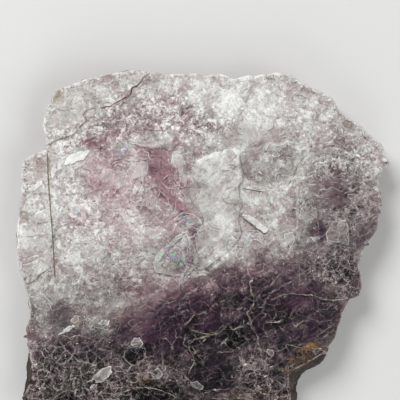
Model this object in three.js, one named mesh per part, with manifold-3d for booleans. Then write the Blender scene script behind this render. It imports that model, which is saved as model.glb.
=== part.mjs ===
// Mica crystal: one book of lilac mica, lying on its back cleavage face.
//
// The book is a stack of leaves, packs of cleavage sheets about a millimetre thick. Each leaf
// follows the same broken outline but ends a little further in or out than its neighbours, as
// the pages of a worn book do. On the front face a few thicker sheets remain as raised terraces,
// and two straight cracks part the left-hand panel from the rest. All of it grew as one crystal,
// so everything is joined in one closed solid.
//
// Units are millimetres. +Z is up, square to the cleavage. The origin is under the middle of the
// crystal, at the level that it rests on. +Y points to the edge that is the top of the face.
import * as THREE from "three";
import { mergeVertices } from "three/addons/utils/BufferGeometryUtils.js";
import Module from "manifold-3d";

// ---------------------------------------------------------------- driving dimensions

const LEAF_COUNT = 11; // packs of sheets in the book, back to front
const LEAF_THICKNESS = 0.92; // of one pack, on average
const LEAF_UNEVENNESS = 0.28; // share by which packs differ in thickness
const FRONT_FACE = LEAF_COUNT * LEAF_THICKNESS; // height of the main front face
const PAGE_SHIFT = 0.55; // how far a leaf's edge wanders from the outline
const BACK_INSET = 0.9; // how much further in the lowest leaf ends
const JOIN = 0.04; // overlap of stacked sheets, so that they join in one solid
const ROOT = LEAF_THICKNESS / 2; // how far a raised sheet reaches down into the book
const CRACK_WIDTH = 0.4;
const CRACK_DEPTH = 2.6;
const CLEAR = 2 * FRONT_FACE; // a height above everything, where cutting solids end
const MERGE_DISTANCE = 1e-4; // corners closer than this are one

// A leaf's edge wanders as two waves along the edge. Each has its share, its turn from one corner
// to the next, its turn from one leaf to the next, and its start, in radians.
const EDGE_WAVES = [
  { share: 0.6, perCorner: 0.9, perLeaf: 2.3, start: 0.0 },
  { share: 0.4, perCorner: 2.1, perLeaf: -1.7, start: 0.8 },
];
const THICKNESS_WAVE = 2.4; // turn from one leaf to the next of the wave in their thickness

// The outline of the back of the book, anticlockwise from the right-hand notch. A corner is
// [x, y], or [x, y, dx, dy] where the side is a sloping fracture: it has moved by dx and dy by the
// time that it reaches the front face.
const OUTLINE = [
  [43.8, -15.3], [47.1, -14.4], [48.0, -12.3], [47.1, -7.8], [46.5, -5.7], [46.8, -3.9],
  [49.2, 1.8], [50.7, 4.2], [52.8, 7.2], [54.0, 14.7], [53.1, 18.3], [52.5, 21.9],
  [55.2, 24.3], [56.1, 25.8], [54.6, 28.2], [52.8, 31.5], [48.9, 34.5], [46.8, 37.8],
  [43.8, 38.4], [40.2, 42.3], [39.3, 44.4], [36.3, 46.5], [32.4, 48.3], [28.8, 51.0],
  [27.0, 51.3], [25.2, 52.8], [21.3, 53.1], [12.6, 52.5], [11.4, 51.6], [8.7, 51.3],
  [5.4, 52.5], [0.3, 52.2], [-4.2, 52.8], [-12.0, 52.5], [-13.8, 53.4], [-16.2, 52.8],
  [-20.4, 54.0], [-25.8, 52.8], [-33.6, 51.9], [-37.2, 50.4], [-41.4, 48.9], [-43.8, 48.0],
  [-45.6, 45.3], [-48.0, 41.7], [-47.4, 30.6], [-49.8, 29.1], [-53.4, 27.6], [-54.6, 26.4],
  [-54.9, 22.2], [-55.2, 14.7], [-55.8, 4.2], [-56.1, -3.9], [-55.5, -6.3], [-53.7, -11.1],
  [-54.0, -15.3], [-52.2, -19.8], [-53.4, -24.3], [-52.8, -29.1], [-54.0, -32.7, 1.4, 0],
  [-54.9, -36.3, 1.8, 0], [-55.5, -40.8, 1.0, 0], [-55.8, -45.3], [-54.6, -50.1],
  [-47.7, -52.5], [-37.2, -52.8], [-25.2, -51.6], [-13.2, -54.0], [-1.2, -53.4],
  [8.4, -51.3], [16.2, -52.8], [24.3, -51.9, -1.0, 0.6], [27.3, -48.9, -1.4, 0.6],
  [27.9, -45.3, -1.8, 1.5], [28.5, -40.8, -3.0, 3.3], [29.7, -38.1, -2.4, 1.8],
  [32.1, -35.7, -1.5, 1.5], [36.3, -34.2, -2.1, 2.1], [36.9, -31.8, -2.1, 0.9],
  [38.4, -29.7, -1.6, 0.3], [39.0, -27.3], [40.8, -22.8], [42.0, -18.9],
];

// The sheets that stand on the front face: how far each rises above it, and its outline. A sheet
// that runs out to the edge of the book is trimmed there.
const SHEETS = [
  { // the thick corner sheet at the top left, with its broken diagonal edge
    rise: 0.9,
    outline: [
      [-60, 31.8], [-47, 32.2], [-43.5, 33.8], [-38.7, 34.2], [-37.0, 37.2], [-35.6, 40.2],
      [-31.6, 42.5], [-27.4, 43.3], [-24.6, 46.2], [-21.2, 49.1], [-18.8, 51.2], [-17.0, 53.2],
      [-16, 60], [-60, 60],
    ],
  },
  { // the left-hand panel, parted from the face by the straight crack
    rise: 0.6,
    outline: [
      [-60, 31], [-47.2, 31], [-46.6, 24.5], [-46.2, 14.5], [-45.4, 4.5], [-44.9, -1.8],
      [-44.8, -5.3], [-48.6, -7.2], [-53.6, -11.3], [-60, -16],
    ],
  },
  { // the broad silvery sheet across the upper half
    rise: 0.45,
    outline: [
      [-30.5, 30.6], [-22.4, 29.4], [-16.4, 31.4], [-12.2, 33.0], [-6.2, 34.6], [-1.8, 36.6],
      [4.2, 35.0], [10.0, 34.2], [18.6, 33.2], [27.0, 30.2], [30.4, 26.4], [31.6, 20.8],
      [38.0, 17.6], [46.0, 20.0], [60, 21], [60, 60], [-12.5, 60], [-15.4, 52.6],
      [-20.0, 46.4], [-26.2, 41.2], [-33.6, 38.4], [-34.8, 34.0],
    ],
  },
  { // the tongue of the middle sheet, which hangs down the centre of the face
    rise: 0.35,
    outline: [
      [-2.2, 34.2], [-7.0, 29.4], [-9.4, 24.4], [-6.8, 20.2], [-9.0, 15.4], [-5.4, 11.0],
      [-2.2, 6.8], [-3.8, 1.4], [-7.6, -4.8], [-11.8, -11.4], [-5.6, -11.6], [2.8, -7.8],
      [8.4, -2.6], [11.6, 2.6], [10.8, 7.4], [12.2, 11.8], [11.4, 17.4], [12.8, 21.4],
      [11.0, 26.6], [12.6, 31.4], [9.4, 33.4],
    ],
  },
  { // the right-hand sheet, whose lower edge crosses to the notch
    rise: 0.4,
    outline: [
      [60, 20], [46.6, 18.4], [41.4, 12.4], [42.2, 5.4], [37.2, -0.6], [38.4, -7.4],
      [33.0, -11.6], [24.2, -14.2], [29.4, -15.6], [36.8, -16.9], [43.6, -16.0], [60, -15],
    ],
  },
  { // the low sheet at the bottom left, with a curved step
    rise: 0.35,
    outline: [
      [-60, -45.6], [-50.5, -46.2], [-44.5, -43.8], [-38.4, -42.6], [-33.4, -46.2],
      [-26.0, -44.6], [-17.0, -46.8], [-6.0, -44.6], [6.0, -46.2], [16.0, -44.9],
      [25.4, -46.2], [60, -46], [60, -60], [-60, -60],
    ],
  },
  { // the small wedge of sheets in the lower right corner
    rise: 0.5,
    outline: [
      [24.6, -36.4], [26.4, -33.0], [29.6, -29.8], [34.0, -31.4], [60, -31.5], [60, -38],
      [28.8, -35.4], [26.6, -37.2],
    ],
  },
];

// The straight cracks, as runs of points along the middle of each.
const CRACKS = [
  [[-47.3, 32.0], [-46.8, 24.5], [-46.1, 14.5], [-45.3, 4.5], [-44.7, -5.2], [-44.5, -9.5]],
  [[-44.8, -5.3], [-48.8, -7.1], [-53.8, -11.0], [-57.0, -13.6]],
];

// ---------------------------------------------------------------- solids

const wasm = await Module();
wasm.setup();

// A closed geometry as a solid that can be joined and cut.
function solidOf(geometry) {
  const bare = geometry.clone();
  bare.deleteAttribute("normal");
  bare.deleteAttribute("uv");
  const merged = mergeVertices(bare, MERGE_DISTANCE);
  return new wasm.Manifold(
    new wasm.Mesh({
      numProp: 3,
      vertProperties: merged.attributes.position.array,
      triVerts: new Uint32Array(merged.index.array),
    }),
  );
}

// A solid as a flat-shaded geometry.
function geometryOf(solid) {
  const mesh = solid.getMesh();
  const geometry = new THREE.BufferGeometry()
    .setAttribute("position", new THREE.BufferAttribute(mesh.vertProperties, mesh.numProp))
    .setIndex(new THREE.BufferAttribute(mesh.triVerts, 1));
  geometry.computeVertexNormals();
  return geometry;
}

// A sheet: an outline of [x, y] points, filled from one height to another.
function sheet(points, low, high) {
  const shape = new THREE.Shape(points.map(([x, y]) => new THREE.Vector2(x, y)));
  const extruded = new THREE.ExtrudeGeometry(shape, { depth: high - low, bevelEnabled: false });
  return solidOf(extruded.translate(0, 0, low));
}

// ---------------------------------------------------------------- the book

// A smooth wander between -1 and 1, different for each leaf, at a corner of the outline.
function wander(corner, leaf) {
  return EDGE_WAVES.reduce(
    (sum, { share, perCorner, perLeaf, start }) =>
      sum + share * Math.sin(perCorner * corner + perLeaf * leaf + start),
    0,
  );
}

// The inward direction at each corner of a closed outline that runs anticlockwise.
function inwardAt(points, i) {
  const [ax, ay] = points[(i + points.length - 1) % points.length];
  const [bx, by] = points[(i + 1) % points.length];
  const length = Math.hypot(bx - ax, by - ay);
  return [-(by - ay) / length, (bx - ax) / length];
}

// The outline of one leaf. share is its place in the book, 0 at the back and 1 at the front.
function leafOutline(leaf, share) {
  const moved = THREE.MathUtils.smoothstep(share, 0, 1);
  const corners = OUTLINE.map(([x, y, dx = 0, dy = 0]) => [x + dx * moved, y + dy * moved]);
  return corners.map(([x, y], i) => {
    const [nx, ny] = inwardAt(corners, i);
    const inset = PAGE_SHIFT * Math.max(0, wander(i, leaf)) + BACK_INSET * (1 - share) ** 3;
    return [x + nx * inset, y + ny * inset];
  });
}

// The heights at which the leaves meet, from the back face to the front face.
function leafLevels() {
  const swing = (LEAF_UNEVENNESS * LEAF_THICKNESS) / 2;
  const level = (leaf) => leaf * LEAF_THICKNESS + swing * Math.sin(THICKNESS_WAVE * leaf);
  const inner = Array.from({ length: LEAF_COUNT - 1 }, (_, i) => level(i + 1));
  return [0, ...inner, FRONT_FACE];
}

// The stacked leaves, joined.
function book() {
  const levels = leafLevels();
  const leaves = Array.from({ length: LEAF_COUNT }, (_, leaf) => {
    const low = leaf === 0 ? 0 : levels[leaf] - JOIN;
    return sheet(leafOutline(leaf, leaf / (LEAF_COUNT - 1)), low, levels[leaf + 1]);
  });
  return leaves.reduce((joined, leaf) => joined.add(leaf));
}

// The raised sheets, trimmed to the front leaf's outline.
function frontSheets() {
  const trim = sheet(leafOutline(LEAF_COUNT - 1, 1), 0, CLEAR);
  return SHEETS.map(({ rise, outline }) =>
    sheet(outline, FRONT_FACE - ROOT, FRONT_FACE + rise).intersect(trim),
  );
}

// A crack: a narrow slot along a run of points, open at the top.
function crack(run) {
  const side = (sign) =>
    run.map(([x, y], i) => {
      const [ax, ay] = run[Math.max(0, i - 1)];
      const [bx, by] = run[Math.min(run.length - 1, i + 1)];
      const length = Math.hypot(bx - ax, by - ay);
      const half = (sign * CRACK_WIDTH) / 2;
      return [x - (half * (by - ay)) / length, y + (half * (bx - ax)) / length];
    });
  const outline = [...side(-1), ...side(1).reverse()];
  return sheet(outline, FRONT_FACE - CRACK_DEPTH, CLEAR);
}

// The whole crystal.
function crystal() {
  const grown = frontSheets().reduce((joined, raised) => joined.add(raised), book());
  return CRACKS.map(crack).reduce((left, slot) => left.subtract(slot), grown);
}

// ---------------------------------------------------------------- the scene

const mica = new THREE.MeshStandardMaterial({
  color: new THREE.Color(0.62, 0.53, 0.58),
  roughness: 0.42,
  metalness: 0.0,
});

const part = new THREE.Group();
const crystalMesh = new THREE.Mesh(geometryOf(crystal()), mica);
crystalMesh.name = "mica_crystal";
part.add(crystalMesh);

export default part;
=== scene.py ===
"""Mica crystal: a book of lilac mica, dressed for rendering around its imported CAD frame.

The crystal lies on its back cleavage face. The camera looks straight down on the front face, +Y
up. Every shape is a numpy surface: a function of two parameters on a grid, or a profile carried
along a path. Lengths in the shape functions are millimetres, and a mesh is put in metres.
"""

import logging
import math
from dataclasses import dataclass
from enum import Enum
from functools import partialmethod
from typing import Iterable, Sequence

import bpy
import numpy as np
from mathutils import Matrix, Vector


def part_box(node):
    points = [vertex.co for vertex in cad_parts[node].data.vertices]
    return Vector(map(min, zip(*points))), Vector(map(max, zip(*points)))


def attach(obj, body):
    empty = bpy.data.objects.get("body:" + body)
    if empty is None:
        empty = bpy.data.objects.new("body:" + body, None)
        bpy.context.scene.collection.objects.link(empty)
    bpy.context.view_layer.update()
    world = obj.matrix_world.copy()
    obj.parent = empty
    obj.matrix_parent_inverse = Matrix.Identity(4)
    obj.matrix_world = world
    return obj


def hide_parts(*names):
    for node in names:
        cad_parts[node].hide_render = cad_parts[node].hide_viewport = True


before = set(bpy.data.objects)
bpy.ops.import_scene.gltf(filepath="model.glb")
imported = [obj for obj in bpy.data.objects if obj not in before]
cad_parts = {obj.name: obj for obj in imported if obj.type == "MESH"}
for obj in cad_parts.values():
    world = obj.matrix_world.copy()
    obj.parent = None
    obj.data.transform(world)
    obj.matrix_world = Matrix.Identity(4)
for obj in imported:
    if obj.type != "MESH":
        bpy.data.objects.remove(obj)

LOG = logging.getLogger("mica")
MM = 0.001  # one millimetre, in metres
NODE = "mica_crystal"
BODY = "root"
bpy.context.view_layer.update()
LOW, HIGH = (np.array(corner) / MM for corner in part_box(NODE))
RISE = 0.9  # the thickest sheet on the front face
FACE = float(HIGH[2] - LOW[2]) - RISE  # height of the front face over the back
HALF = (56.0, 54.0)  # how far the crystal reaches from its middle, across and up
FARTHEST = 12.0  # in line widths: past this, a seam or vein no longer counts
MICA_IOR = 1.56
CHUNKS = 16  # places are measured against lines in this many lots, to save memory

Array = np.ndarray
Points = Sequence[tuple[float, float]]

# --- Outlines, in mm

# The edge of the front face, clockwise from the notch at the upper left. Where the side slopes
# out below the face, a corner also says how far the back stands out from it.
EDGE = (
    (-47, 30.3), (-48, 37.5), (-48.2, 40.8), (-47.3, 42.9), (-45.8, 44.7), (-45.2, 46.5), (-43.4, 48.3),
    (-40, 49.2), (-37.4, 50.1), (-33.8, 51.6), (-29.3, 52.5), (-23.9, 53.1), (-20, 54), (-16.7, 53.1),
    (-13.7, 53.4), (-11.9, 52.4), (-7.7, 52.8), (-2.3, 52.8), (0.1, 52), (5.5, 52.5), (9.1, 51),
    (12.7, 52.2), (19.3, 52.5), (21.1, 53.1), (25.3, 52.8), (27.1, 51.6), (29.5, 50.1), (32.8, 48.3),
    (36.7, 46.5), (39.1, 44.7), (40.6, 42.3), (43, 39), (46.6, 37.8), (48.4, 35.7), (50.5, 33.9),
    (54.1, 30.6), (54.7, 28.5), (56.1, 25.5), (55, 24), (52.9, 22.2), (52.6, 18.9), (53.8, 15.9),
    (53.5, 12.3), (52.6, 8.7), (51.7, 5.1), (49, 0.9), (47.5, -2.7), (46.6, -5.4), (47.5, -8.4),
    (47.8, -12.3), (46.9, -14.1), (43.9, -15.3), (42.4, -17.7), (41.2, -20.7), (40, -24.9),
    (38.8, -28.6, 0.5, -0.3), (37.2, -30.2, 1.6, -1.2), (34.6, -31.6, 3, -3), (31.4, -33.8, 3, -3.4),
    (28.5, -35.8, 3.2, -3), (26.1, -36.6, 4.2, -3.2), (25.5, -38.2, 4, -2.8), (25.8, -40.4, 3.4, -2),
    (26.4, -43, 3, -1.2), (26.6, -46, 2.8, -0.6), (25.2, -49, 2.4, -0.6), (22.4, -51.2, 1, -0.4),
    (12, -52.4), (2, -53.2), (-10, -52.6), (-22, -54), (-34, -52.8), (-45, -53), (-52, -51.4),
    (-55, -48.5), (-54.6, -45.2, -0.9, 0), (-52.9, -41.5, -2.5, 0), (-51.6, -37.6, -3.4, 0),
    (-51.9, -34, -2.5, 0), (-52.4, -31, -1.2, 0), (-52.7, -29.1), (-53.3, -24.3), (-52.1, -20.1),
    (-52.7, -16.8), (-53.6, -12.9), (-53.6, -10.8), (-55.1, -6.9), (-56.1, -3.9), (-56.1, -0.3),
    (-56, 3.3), (-55.7, 10.5), (-55.1, 15.9), (-54.8, 21.3), (-54.5, 26.1), (-52.7, 27.9),
    (-50.9, 28.5), (-49.1, 29.4),
)

# Where the silvery upper face gives way to the dark lower one: across, up, and how far the change
# reaches on each side.
DIVIDE = np.array((
    (-60, -24, 24), (-43, -20.5, 23), (-31, -19, 19), (-19, -15, 18), (-7, -10.6, 14), (5, -8, 9),
    (17, -6, 9.5), (29, -1.5, 20), (41, 8, 31), (60, 10, 32),
)).T


@dataclass(frozen=True)
class Trace:
    """A line on the face: seams are dark cracks and painted shadows, a vein is the pale edge of a sheet.

    Its high side is on the left of its run. rise is the step in mm, reach is how far the high
    side takes to sink back to the face, width is half the drawn line's, and strength is 0 to 1.
    lip is how strongly a torn edge stands up along it, and frayed how many branches that has.
    """

    points: Points
    rise: float = 0.0
    reach: float = 6.0
    width: float = 0.2
    strength: float = 0.8
    lip: float = 0.0
    frayed: float = 0.22


# The silver sheet that hangs down the middle, from its top, down its right side, and back up.
TONGUE = (
    (4.1, 29.2), (7.4, 30), (11, 29.6), (10.8, 25.6), (11.9, 22.8), (11.6, 20.5), (10.3, 18.7),
    (10.6, 15.9), (11.5, 13.6), (10.8, 11.3), (10.2, 8.8), (11, 6.7), (11.3, 4.4), (10.1, 2.6),
    (6.9, -0.8), (3.9, -3.1), (0.9, -5.4), (-2.6, -6.4), (-3.6, -4.6), (-1.6, -2), (-2, 0.6), (-2.4, 3),
    (-1.8, 5.2), (0.4, 7.6), (0.2, 9.8), (-1.6, 12.4), (-2.8, 13.6), (-1.2, 16.2), (-0.6, 18.6),
    (-2.4, 21), (-3.4, 22.6), (-2.6, 25), (-1.2, 27),
)
TONGUE_RIGHT, TONGUE_LEFT = TONGUE[2:18], TONGUE[18:]

# Dark cracks and thin dark lines, some of them painted shadow below a ledge or a lifted sheet.
SEAMS = (
    Trace(((-47.6, 31), (-42.8, 33.3), (-38.9, 34.2), (-37.4, 36.3), (-34.7, 38.7), (-36.3, 40.2),
        (-34.7, 42), (-30.8, 42.3)), rise=0.45, reach=40, width=0.15),
    Trace(((-34.7, 42), (-30.8, 42.3), (-27.8, 42.9), (-25.1, 44.4), (-22.7, 45.9), (-20.9, 48.3),
        (-18.8, 50.1), (-16.6, 52.8)), rise=0.45, reach=40, width=0.21, strength=1),
    Trace(((-45.2, -5.6), (-46.8, -6.4), (-49.1, -7.7), (-51.1, -9.7), (-53.5, -11.2)), rise=-0.3,
        reach=12, width=0.18, strength=1),
    Trace(((-13.9, 33.4), (-11.5, 35.6), (-9, 38), (-6.2, 40.6), (-3.2, 43.8)), rise=0.1, width=0.18,
        strength=0.55),
    # Painted shade: the dark line along the lower left of the lifted sliver.
    Trace(((10.7, 10.5), (14.9, 7.1), (18.3, 4.2), (19, 4.8), (20.2, 5.7)), rise=0.2, reach=2.5,
        strength=1),
    Trace(((10.9, 18.4), (11.8, 18.1), (13.6, 17.5), (16, 17.2), (19.4, 16.9)), rise=0.15, width=0.17,
        strength=1),
    # Painted shadow: the dark line beside the ledge at the right of the hollow.
    Trace(((32, 29.6), (31.4, 28.8), (28.4, 25.3), (27.7, 23.3), (26.3, 20.5), (25.4, 18.7),
        (24.8, 17.8)), rise=0.25, width=0.15, strength=0.7),
    # Painted shadow: the dark line below the raised ledge over the lilac patch.
    Trace(((-22.4, 31.9), (-20.5, 31.2), (-18.4, 30.3), (-15.4, 30.1), (-12.2, 30.3), (-10.1, 29.2),
        (-7.6, 31.4), (-5.6, 32.8)), rise=0.35, width=0.16, strength=0.6),
    Trace(((-2.1, 33.3), (-0.7, 31.7), (2, 30.5), (4.8, 30.3), (7.5, 31)), rise=0.3, width=0.14,
        strength=0.45),
    Trace(((-41.6, -3), (-40.2, -4), (-38.8, -4.4)), width=0.14, strength=0.5),
    Trace(((-54.6, 18.8), (-51.6, 19.4), (-48.6, 20.6), (-46.8, 21.2)), width=0.14, strength=0.45),
    Trace(((-15.6, -7), (-12, -7.6), (-9, -8)), width=0.14, strength=0.5),
)

# Painted shadow: the finest dark run beside the borders of silver sheets.
SEAMS += tuple(Trace(run, width=0.12, strength=0.15) for run in (
    tuple((x + 0.4, y - 0.1) for x, y in TONGUE_RIGHT[:-1]),
    ((21.7, 19.4), (24.6, 19.5), (26.4, 20.6)),
    ((-8.2, 20.4), (-8.4, 18.4), (-7.4, 16), (-5.4, 14.3), (-2.2, 13.3), (0, 11.2)),
    ((-24.6, 21.2), (-22, 20.4), (-19.4, 20.2), (-17, 19.2), (-13.6, 18), (-11, 17)),
))

# The long straight crack down the left side.
CLEFTS = (
    Trace(((-46.8, 30), (-46.5, 20.7), (-46.1, 14.7), (-45.3, 4.8), (-44.7, -5), (-44.4, -9.6)),
        rise=-0.2, reach=12, strength=1),
)

# Pale torn sheet edges: round the tongue and the swirl first, then over the dark lower face.
VEINS = (
    *(Trace(run, rise=-0.3, reach=9, width=0.14, strength=0.45, lip=0.6,
        frayed=0.05) for run in (TONGUE_RIGHT, TONGUE_LEFT)),
    *(Trace(run, rise=0.12, width=0.16, strength=0.5, lip=0.5, frayed=0.05) for run in (
        ((-15, -5.6), (-14.2, -2), (-12, 0.2), (-8.8, 1.8), (-6.4, 4), (-4.8, 4.2), (-3.9, 2),
         (-4.9, -0.6), (-4.2, -3.6)),
        ((-13.4, -5.8), (-12.6, -2.6), (-10, -0.8), (-7.6, 0.6), (-6.2, -1.2), (-6, -3.8), (-4.6, -5.6),
         (-1.6, -5.8)),
        ((-15.6, -6.6), (-12, -7.4), (-8, -8), (-4.6, -7.2), (-2.6, -6.3)),
        ((-8.6, 9.4), (-6.4, 10.8), (-3, 10.4), (-0.8, 8.2), (-3.6, 7.4), (-6, 7.8)),
        ((-13.4, 20.6), (-10.8, 18.4), (-7.4, 17.9), (-6.8, 20.4), (-7.8, 23), (-8.8, 26), (-9.4, 29)),
        ((-21.8, 20.6), (-18, 19.4), (-14.4, 18.2), (-11, 15.6), (-9.4, 11.6)),
    )),
    Trace(((12, 29.6), (13.6, 30.8), (17.4, 32.4), (20, 31.6), (22, 30.4)), rise=0.12, width=0.14,
        strength=0.4, lip=0.5, frayed=0.05),
    Trace(((25.4, 37), (27.6, 33.6), (30.8, 30), (31.2, 27.6), (29, 24.6), (27.4, 21)), rise=0.12,
        width=0.14, strength=0.4, lip=0.5, frayed=0.05),
    Trace(((36.6, 8), (39.6, 8.3), (43.2, 7.6), (43.4, 4.4), (43.6, 1.4), (39.8, 2.2), (36.8, 2.8)),
        rise=-0.15, reach=3, width=0.16, strength=0.75),
    Trace(((37.8, -29.5), (34.2, -31.9), (28.5, -35.6), (25.8, -36.3)), rise=0.1, reach=3, width=0.18,
        strength=0.9, lip=1),
    Trace(((47.6, -12.9), (43.4, -14.8), (39.3, -15.4), (35.9, -15.3), (32.4, -13.7), (24.1, -13.5),
        (21.4, -14.6), (20, -16)), rise=-0.4, reach=9, width=0.16, strength=0.9, lip=1),
    Trace(((15.6, -7.8), (13.6, -10.4), (15, -14.4), (15, -16.6), (13.1, -19.4), (14.3, -21.2),
        (14.3, -24), (16.3, -26.3), (16.1, -28.6)), rise=0.25, width=0.14, lip=1.2),
    *(Trace(run, rise=0.2, width=0.13, strength=0.7, lip=1) for run in (
        ((-4.3, -24.5), (1.5, -25.8), (4.7, -25.1), (7.4, -22.4), (8.6, -24), (12.5, -22.8)),
        ((-5.4, -25.1), (-6.1, -29), (-4, -30), (-2.4, -33.9), (-4.7, -37.5)),
        ((-4.5, -29), (-2.9, -27.4), (1.5, -26.3)),
        ((-5.9, -23.5), (-2.9, -20.1), (0.6, -19.2)),
        ((-12.3, -30), (-12.3, -34.6), (-7.5, -36.2), (-3.8, -39.8), (-0.6, -43.3)),
        ((3.8, -30.9), (8.6, -30.7), (12.5, -29.5)),
        ((-0.1, -43.1), (3.5, -42.4), (8.6, -41.7)),
        ((9.5, -44.4), (12.2, -43.3), (17.5, -43.7), (22.1, -43.7)),
        ((20.9, -30.7), (23.7, -30.2), (25.1, -28.8), (28.7, -29.5), (31, -30.6)),
        ((12.4, -31.6), (10.8, -34.1), (14, -35.9), (16.3, -36.9), (18.4, -35.7), (19.1, -33.4)),
        ((15.9, -13.9), (17.3, -12.1), (20.5, -10.7), (22.9, -8.2), (23.1, -6.2)),
        ((-47, -46.6), (-45.5, -45.3), (-42.8, -43.1), (-40, -42.1), (-38, -43.4)),
        ((-18.6, -28.6), (-21.4, -28.6), (-23.8, -30.6), (-24, -33), (-22, -34.9), (-19.6, -34.9),
         (-17.7, -33), (-17.4, -30.4), (-18.8, -28.8)),
        ((-8, -44.6), (-14, -42), (-20, -41.4), (-26, -43.6), (-32, -42.8)),
        ((-28, -34.8), (-26, -36.6), (-22, -37.6), (-18, -36), (-15, -33)),
    )),
    *(Trace(run, rise=0.12, width=0.11, strength=0.5, lip=0.7) for run in (
        ((-22.8, -24.7), (-20, -22.8), (-17.4, -21.3)),
        ((-12.8, -36.4), (-10.7, -38.2), (-6.6, -39.8)),
        ((-6, -46.2), (0.6, -44.6), (6.4, -45.4), (12.5, -44.4), (18, -45.4)),
        ((2.4, -35.2), (2.9, -37.1), (3.8, -37.3)),
        ((25.5, -21), (26.9, -18.7), (29, -16.4)),
        ((18.6, -21.9), (22.3, -22.2), (24.6, -21)),
        ((26, -21.9), (28, -23.1), (30.1, -21.5), (32.9, -21)),
        ((33.8, -26.3), (37.5, -24), (41.1, -21.2)),
        ((19.1, -37.3), (20, -35.7), (22.8, -34.3)),
        ((-43, -26), (-40, -27), (-37, -25.6), (-33, -27.6)),
        ((32.4, -30), (34.7, -29.7), (38.4, -29.3)),
        ((-14.6, -20.4), (-12, -17), (-6, -14.6), (-1, -11)),
    )),
)


# --- Fields over the face

@dataclass(frozen=True)
class Patch:
    """A soft-edged ellipse: centre, half-sizes, turn in degrees, and what it adds."""

    x: float
    y: float
    rx: float
    ry: float
    amount: float
    turn: float = 0.0
    soft: float = 0.6

    def weigh(self, x: Array, y: Array) -> Array:
        """The amount times a smooth fall from 1 inside the ellipse to 0 outside it.

        Args:
            x: Places across the face.
            y: Places up the face.

        Returns:
            What the patch adds at each place.
        """
        c, s = math.cos(math.radians(self.turn)), math.sin(math.radians(self.turn))
        dx, dy = x - self.x, y - self.y
        radius = np.hypot((dx * c + dy * s) / self.rx, (dy * c - dx * s) / self.ry)
        return self.amount * smooth(1.0 + self.soft, 1.0 - self.soft, radius)


def patches(*rows: tuple[float, ...]) -> tuple[Patch, ...]:
    """Patches, from their fields in order."""
    return tuple(Patch(*row) for row in rows)


# What is added to the tone: paler above 0, darker below it.
SHADE = patches(
    (14, 45, 16, 7, 0.09, -8, 0.7), (0, 44, 10, 8, 0.04, 0, 0.7), (-2, 34, 11, 5, -0.06),
    (17, 33, 7, 6, 0.03), (-41, 40, 7, 7, 0.06), (-31, 45, 7, 5, 0.04, 10), (-20, 38, 17, 6.5, -0.06, 22),
    (-31, 34, 6, 5, -0.08), (-27, 25, 12, 6, -0.05), (-8, 12, 9, 18, -0.07, 8), (-7, -3, 6.5, 6, -0.05),
    (29, 25, 7, 9, -0.075), (40, 20, 8, 10, -0.16), (41, 31, 7, 6, -0.06, -30), (29, 9, 6.5, 8, -0.08),
    (-28, 8, 13, 8, 0.035), (-50, 6, 4, 15, 0.03, 0, 0.5), (-31, -3, 18, 6, -0.03),
    (-12, -14, 11, 6, 0.03, 10), (-13, -27, 11, 6, 0.04), (-19, -38, 9, 5, 0.05, 10),
    (-48, -27, 5, 4, 0.06), (-51.6, -39, 2.4, 8, 0.14, 0, 0.5), (-43, -38, 7, 10, -0.12),
    (-31, -34, 7, 9, -0.06), (14.5, -31, 6, 4, 0.035), (17, -41, 7, 5.5, -0.08), (33, -16, 10, 7, 0.045),
    (30, -25, 6, 5, 0.055),
)

# How lilac the face is, over its level.
LILAC = patches(
    (-26, 22, 11, 9, 0.35), (-27, 10, 9, 10, 0.25), (-38, 11, 3.5, 4.5, 0.35), (-8, 8, 7, 14, 0.35, -5),
    (39, 14, 6.5, 11, 0.05, 0, 0.5), (40, 2, 10, 12, -0.18), (-42, -16, 18, 9, -0.2),
    (0, -42, 60, 12, -0.12, 0, 0.5), (-18, 40, 12, 5, 0.25, 25, 0.5), (-5, 35, 6, 5, 0.3),
    (-8, -18, 14, 9, 0.35, 8), (18, -15, 13, 8, 0.5, -5), (2, 18, 8, 16, -0.3, 0, 0.5),
    (14, 44, 14, 7, -0.1, 0, 0.5), (-31, 34, 6, 5, 0.25), (-12, -26, 12, 7, 0.15),
    (-40, 42, 9, 9, -0.12), (-47, 23, 5, 9, 0.15), (-19, 32, 7, 5, 0.25), (-7, 22, 5, 6, 0.3),
)

# How busy the flakes are, over their level.
BUSY = patches(
    (-20, 39, 16, 6.5, 0.6, 18, 0.5), (-2, 38, 10, 5, 0.5, -10, 0.5), (-40, 33.5, 5, 4, 0.6, 0, 0.5),
    (43, 20, 9, 12, 0.55, 0, 0.5), (41, -6, 7, 7, 0.35, 0, 0.5), (-30, -7, 20, 7, 0.1, 10),
    (-38, 14, 9, 10, 0.2), (-28, 21, 8, 6, -0.1, 0, 0.5), (2, 14, 7, 15, -0.3, 0, 0.5),
    (14, 34, 9, 3.5, -0.35, 0, 0.5), (-41, 41, 6, 6, -0.15, 0, 0.5), (-51, -4, 4, 10, -0.2, 0, 0.5),
    (38, 16.5, 3, 5, -0.7, 10, 0.4), (-44, -38, 9, 9, 0.5), (14, -34, 6, 5, 0.3, 0, 0.5),
    (20, -43, 8, 4, 0.35, 0, 0.5), (-24, -40, 12, 6, 0.4, 0, 0.5), (-10, -22, 12, 9, -0.35, 0, 0.5),
    (6, -28, 7, 5, -0.3, 0, 0.5), (2, -38.5, 6.5, 4, -0.5, 0, 0.4), (25, -19, 13, 9, -0.3, 0, 0.5),
)

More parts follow.
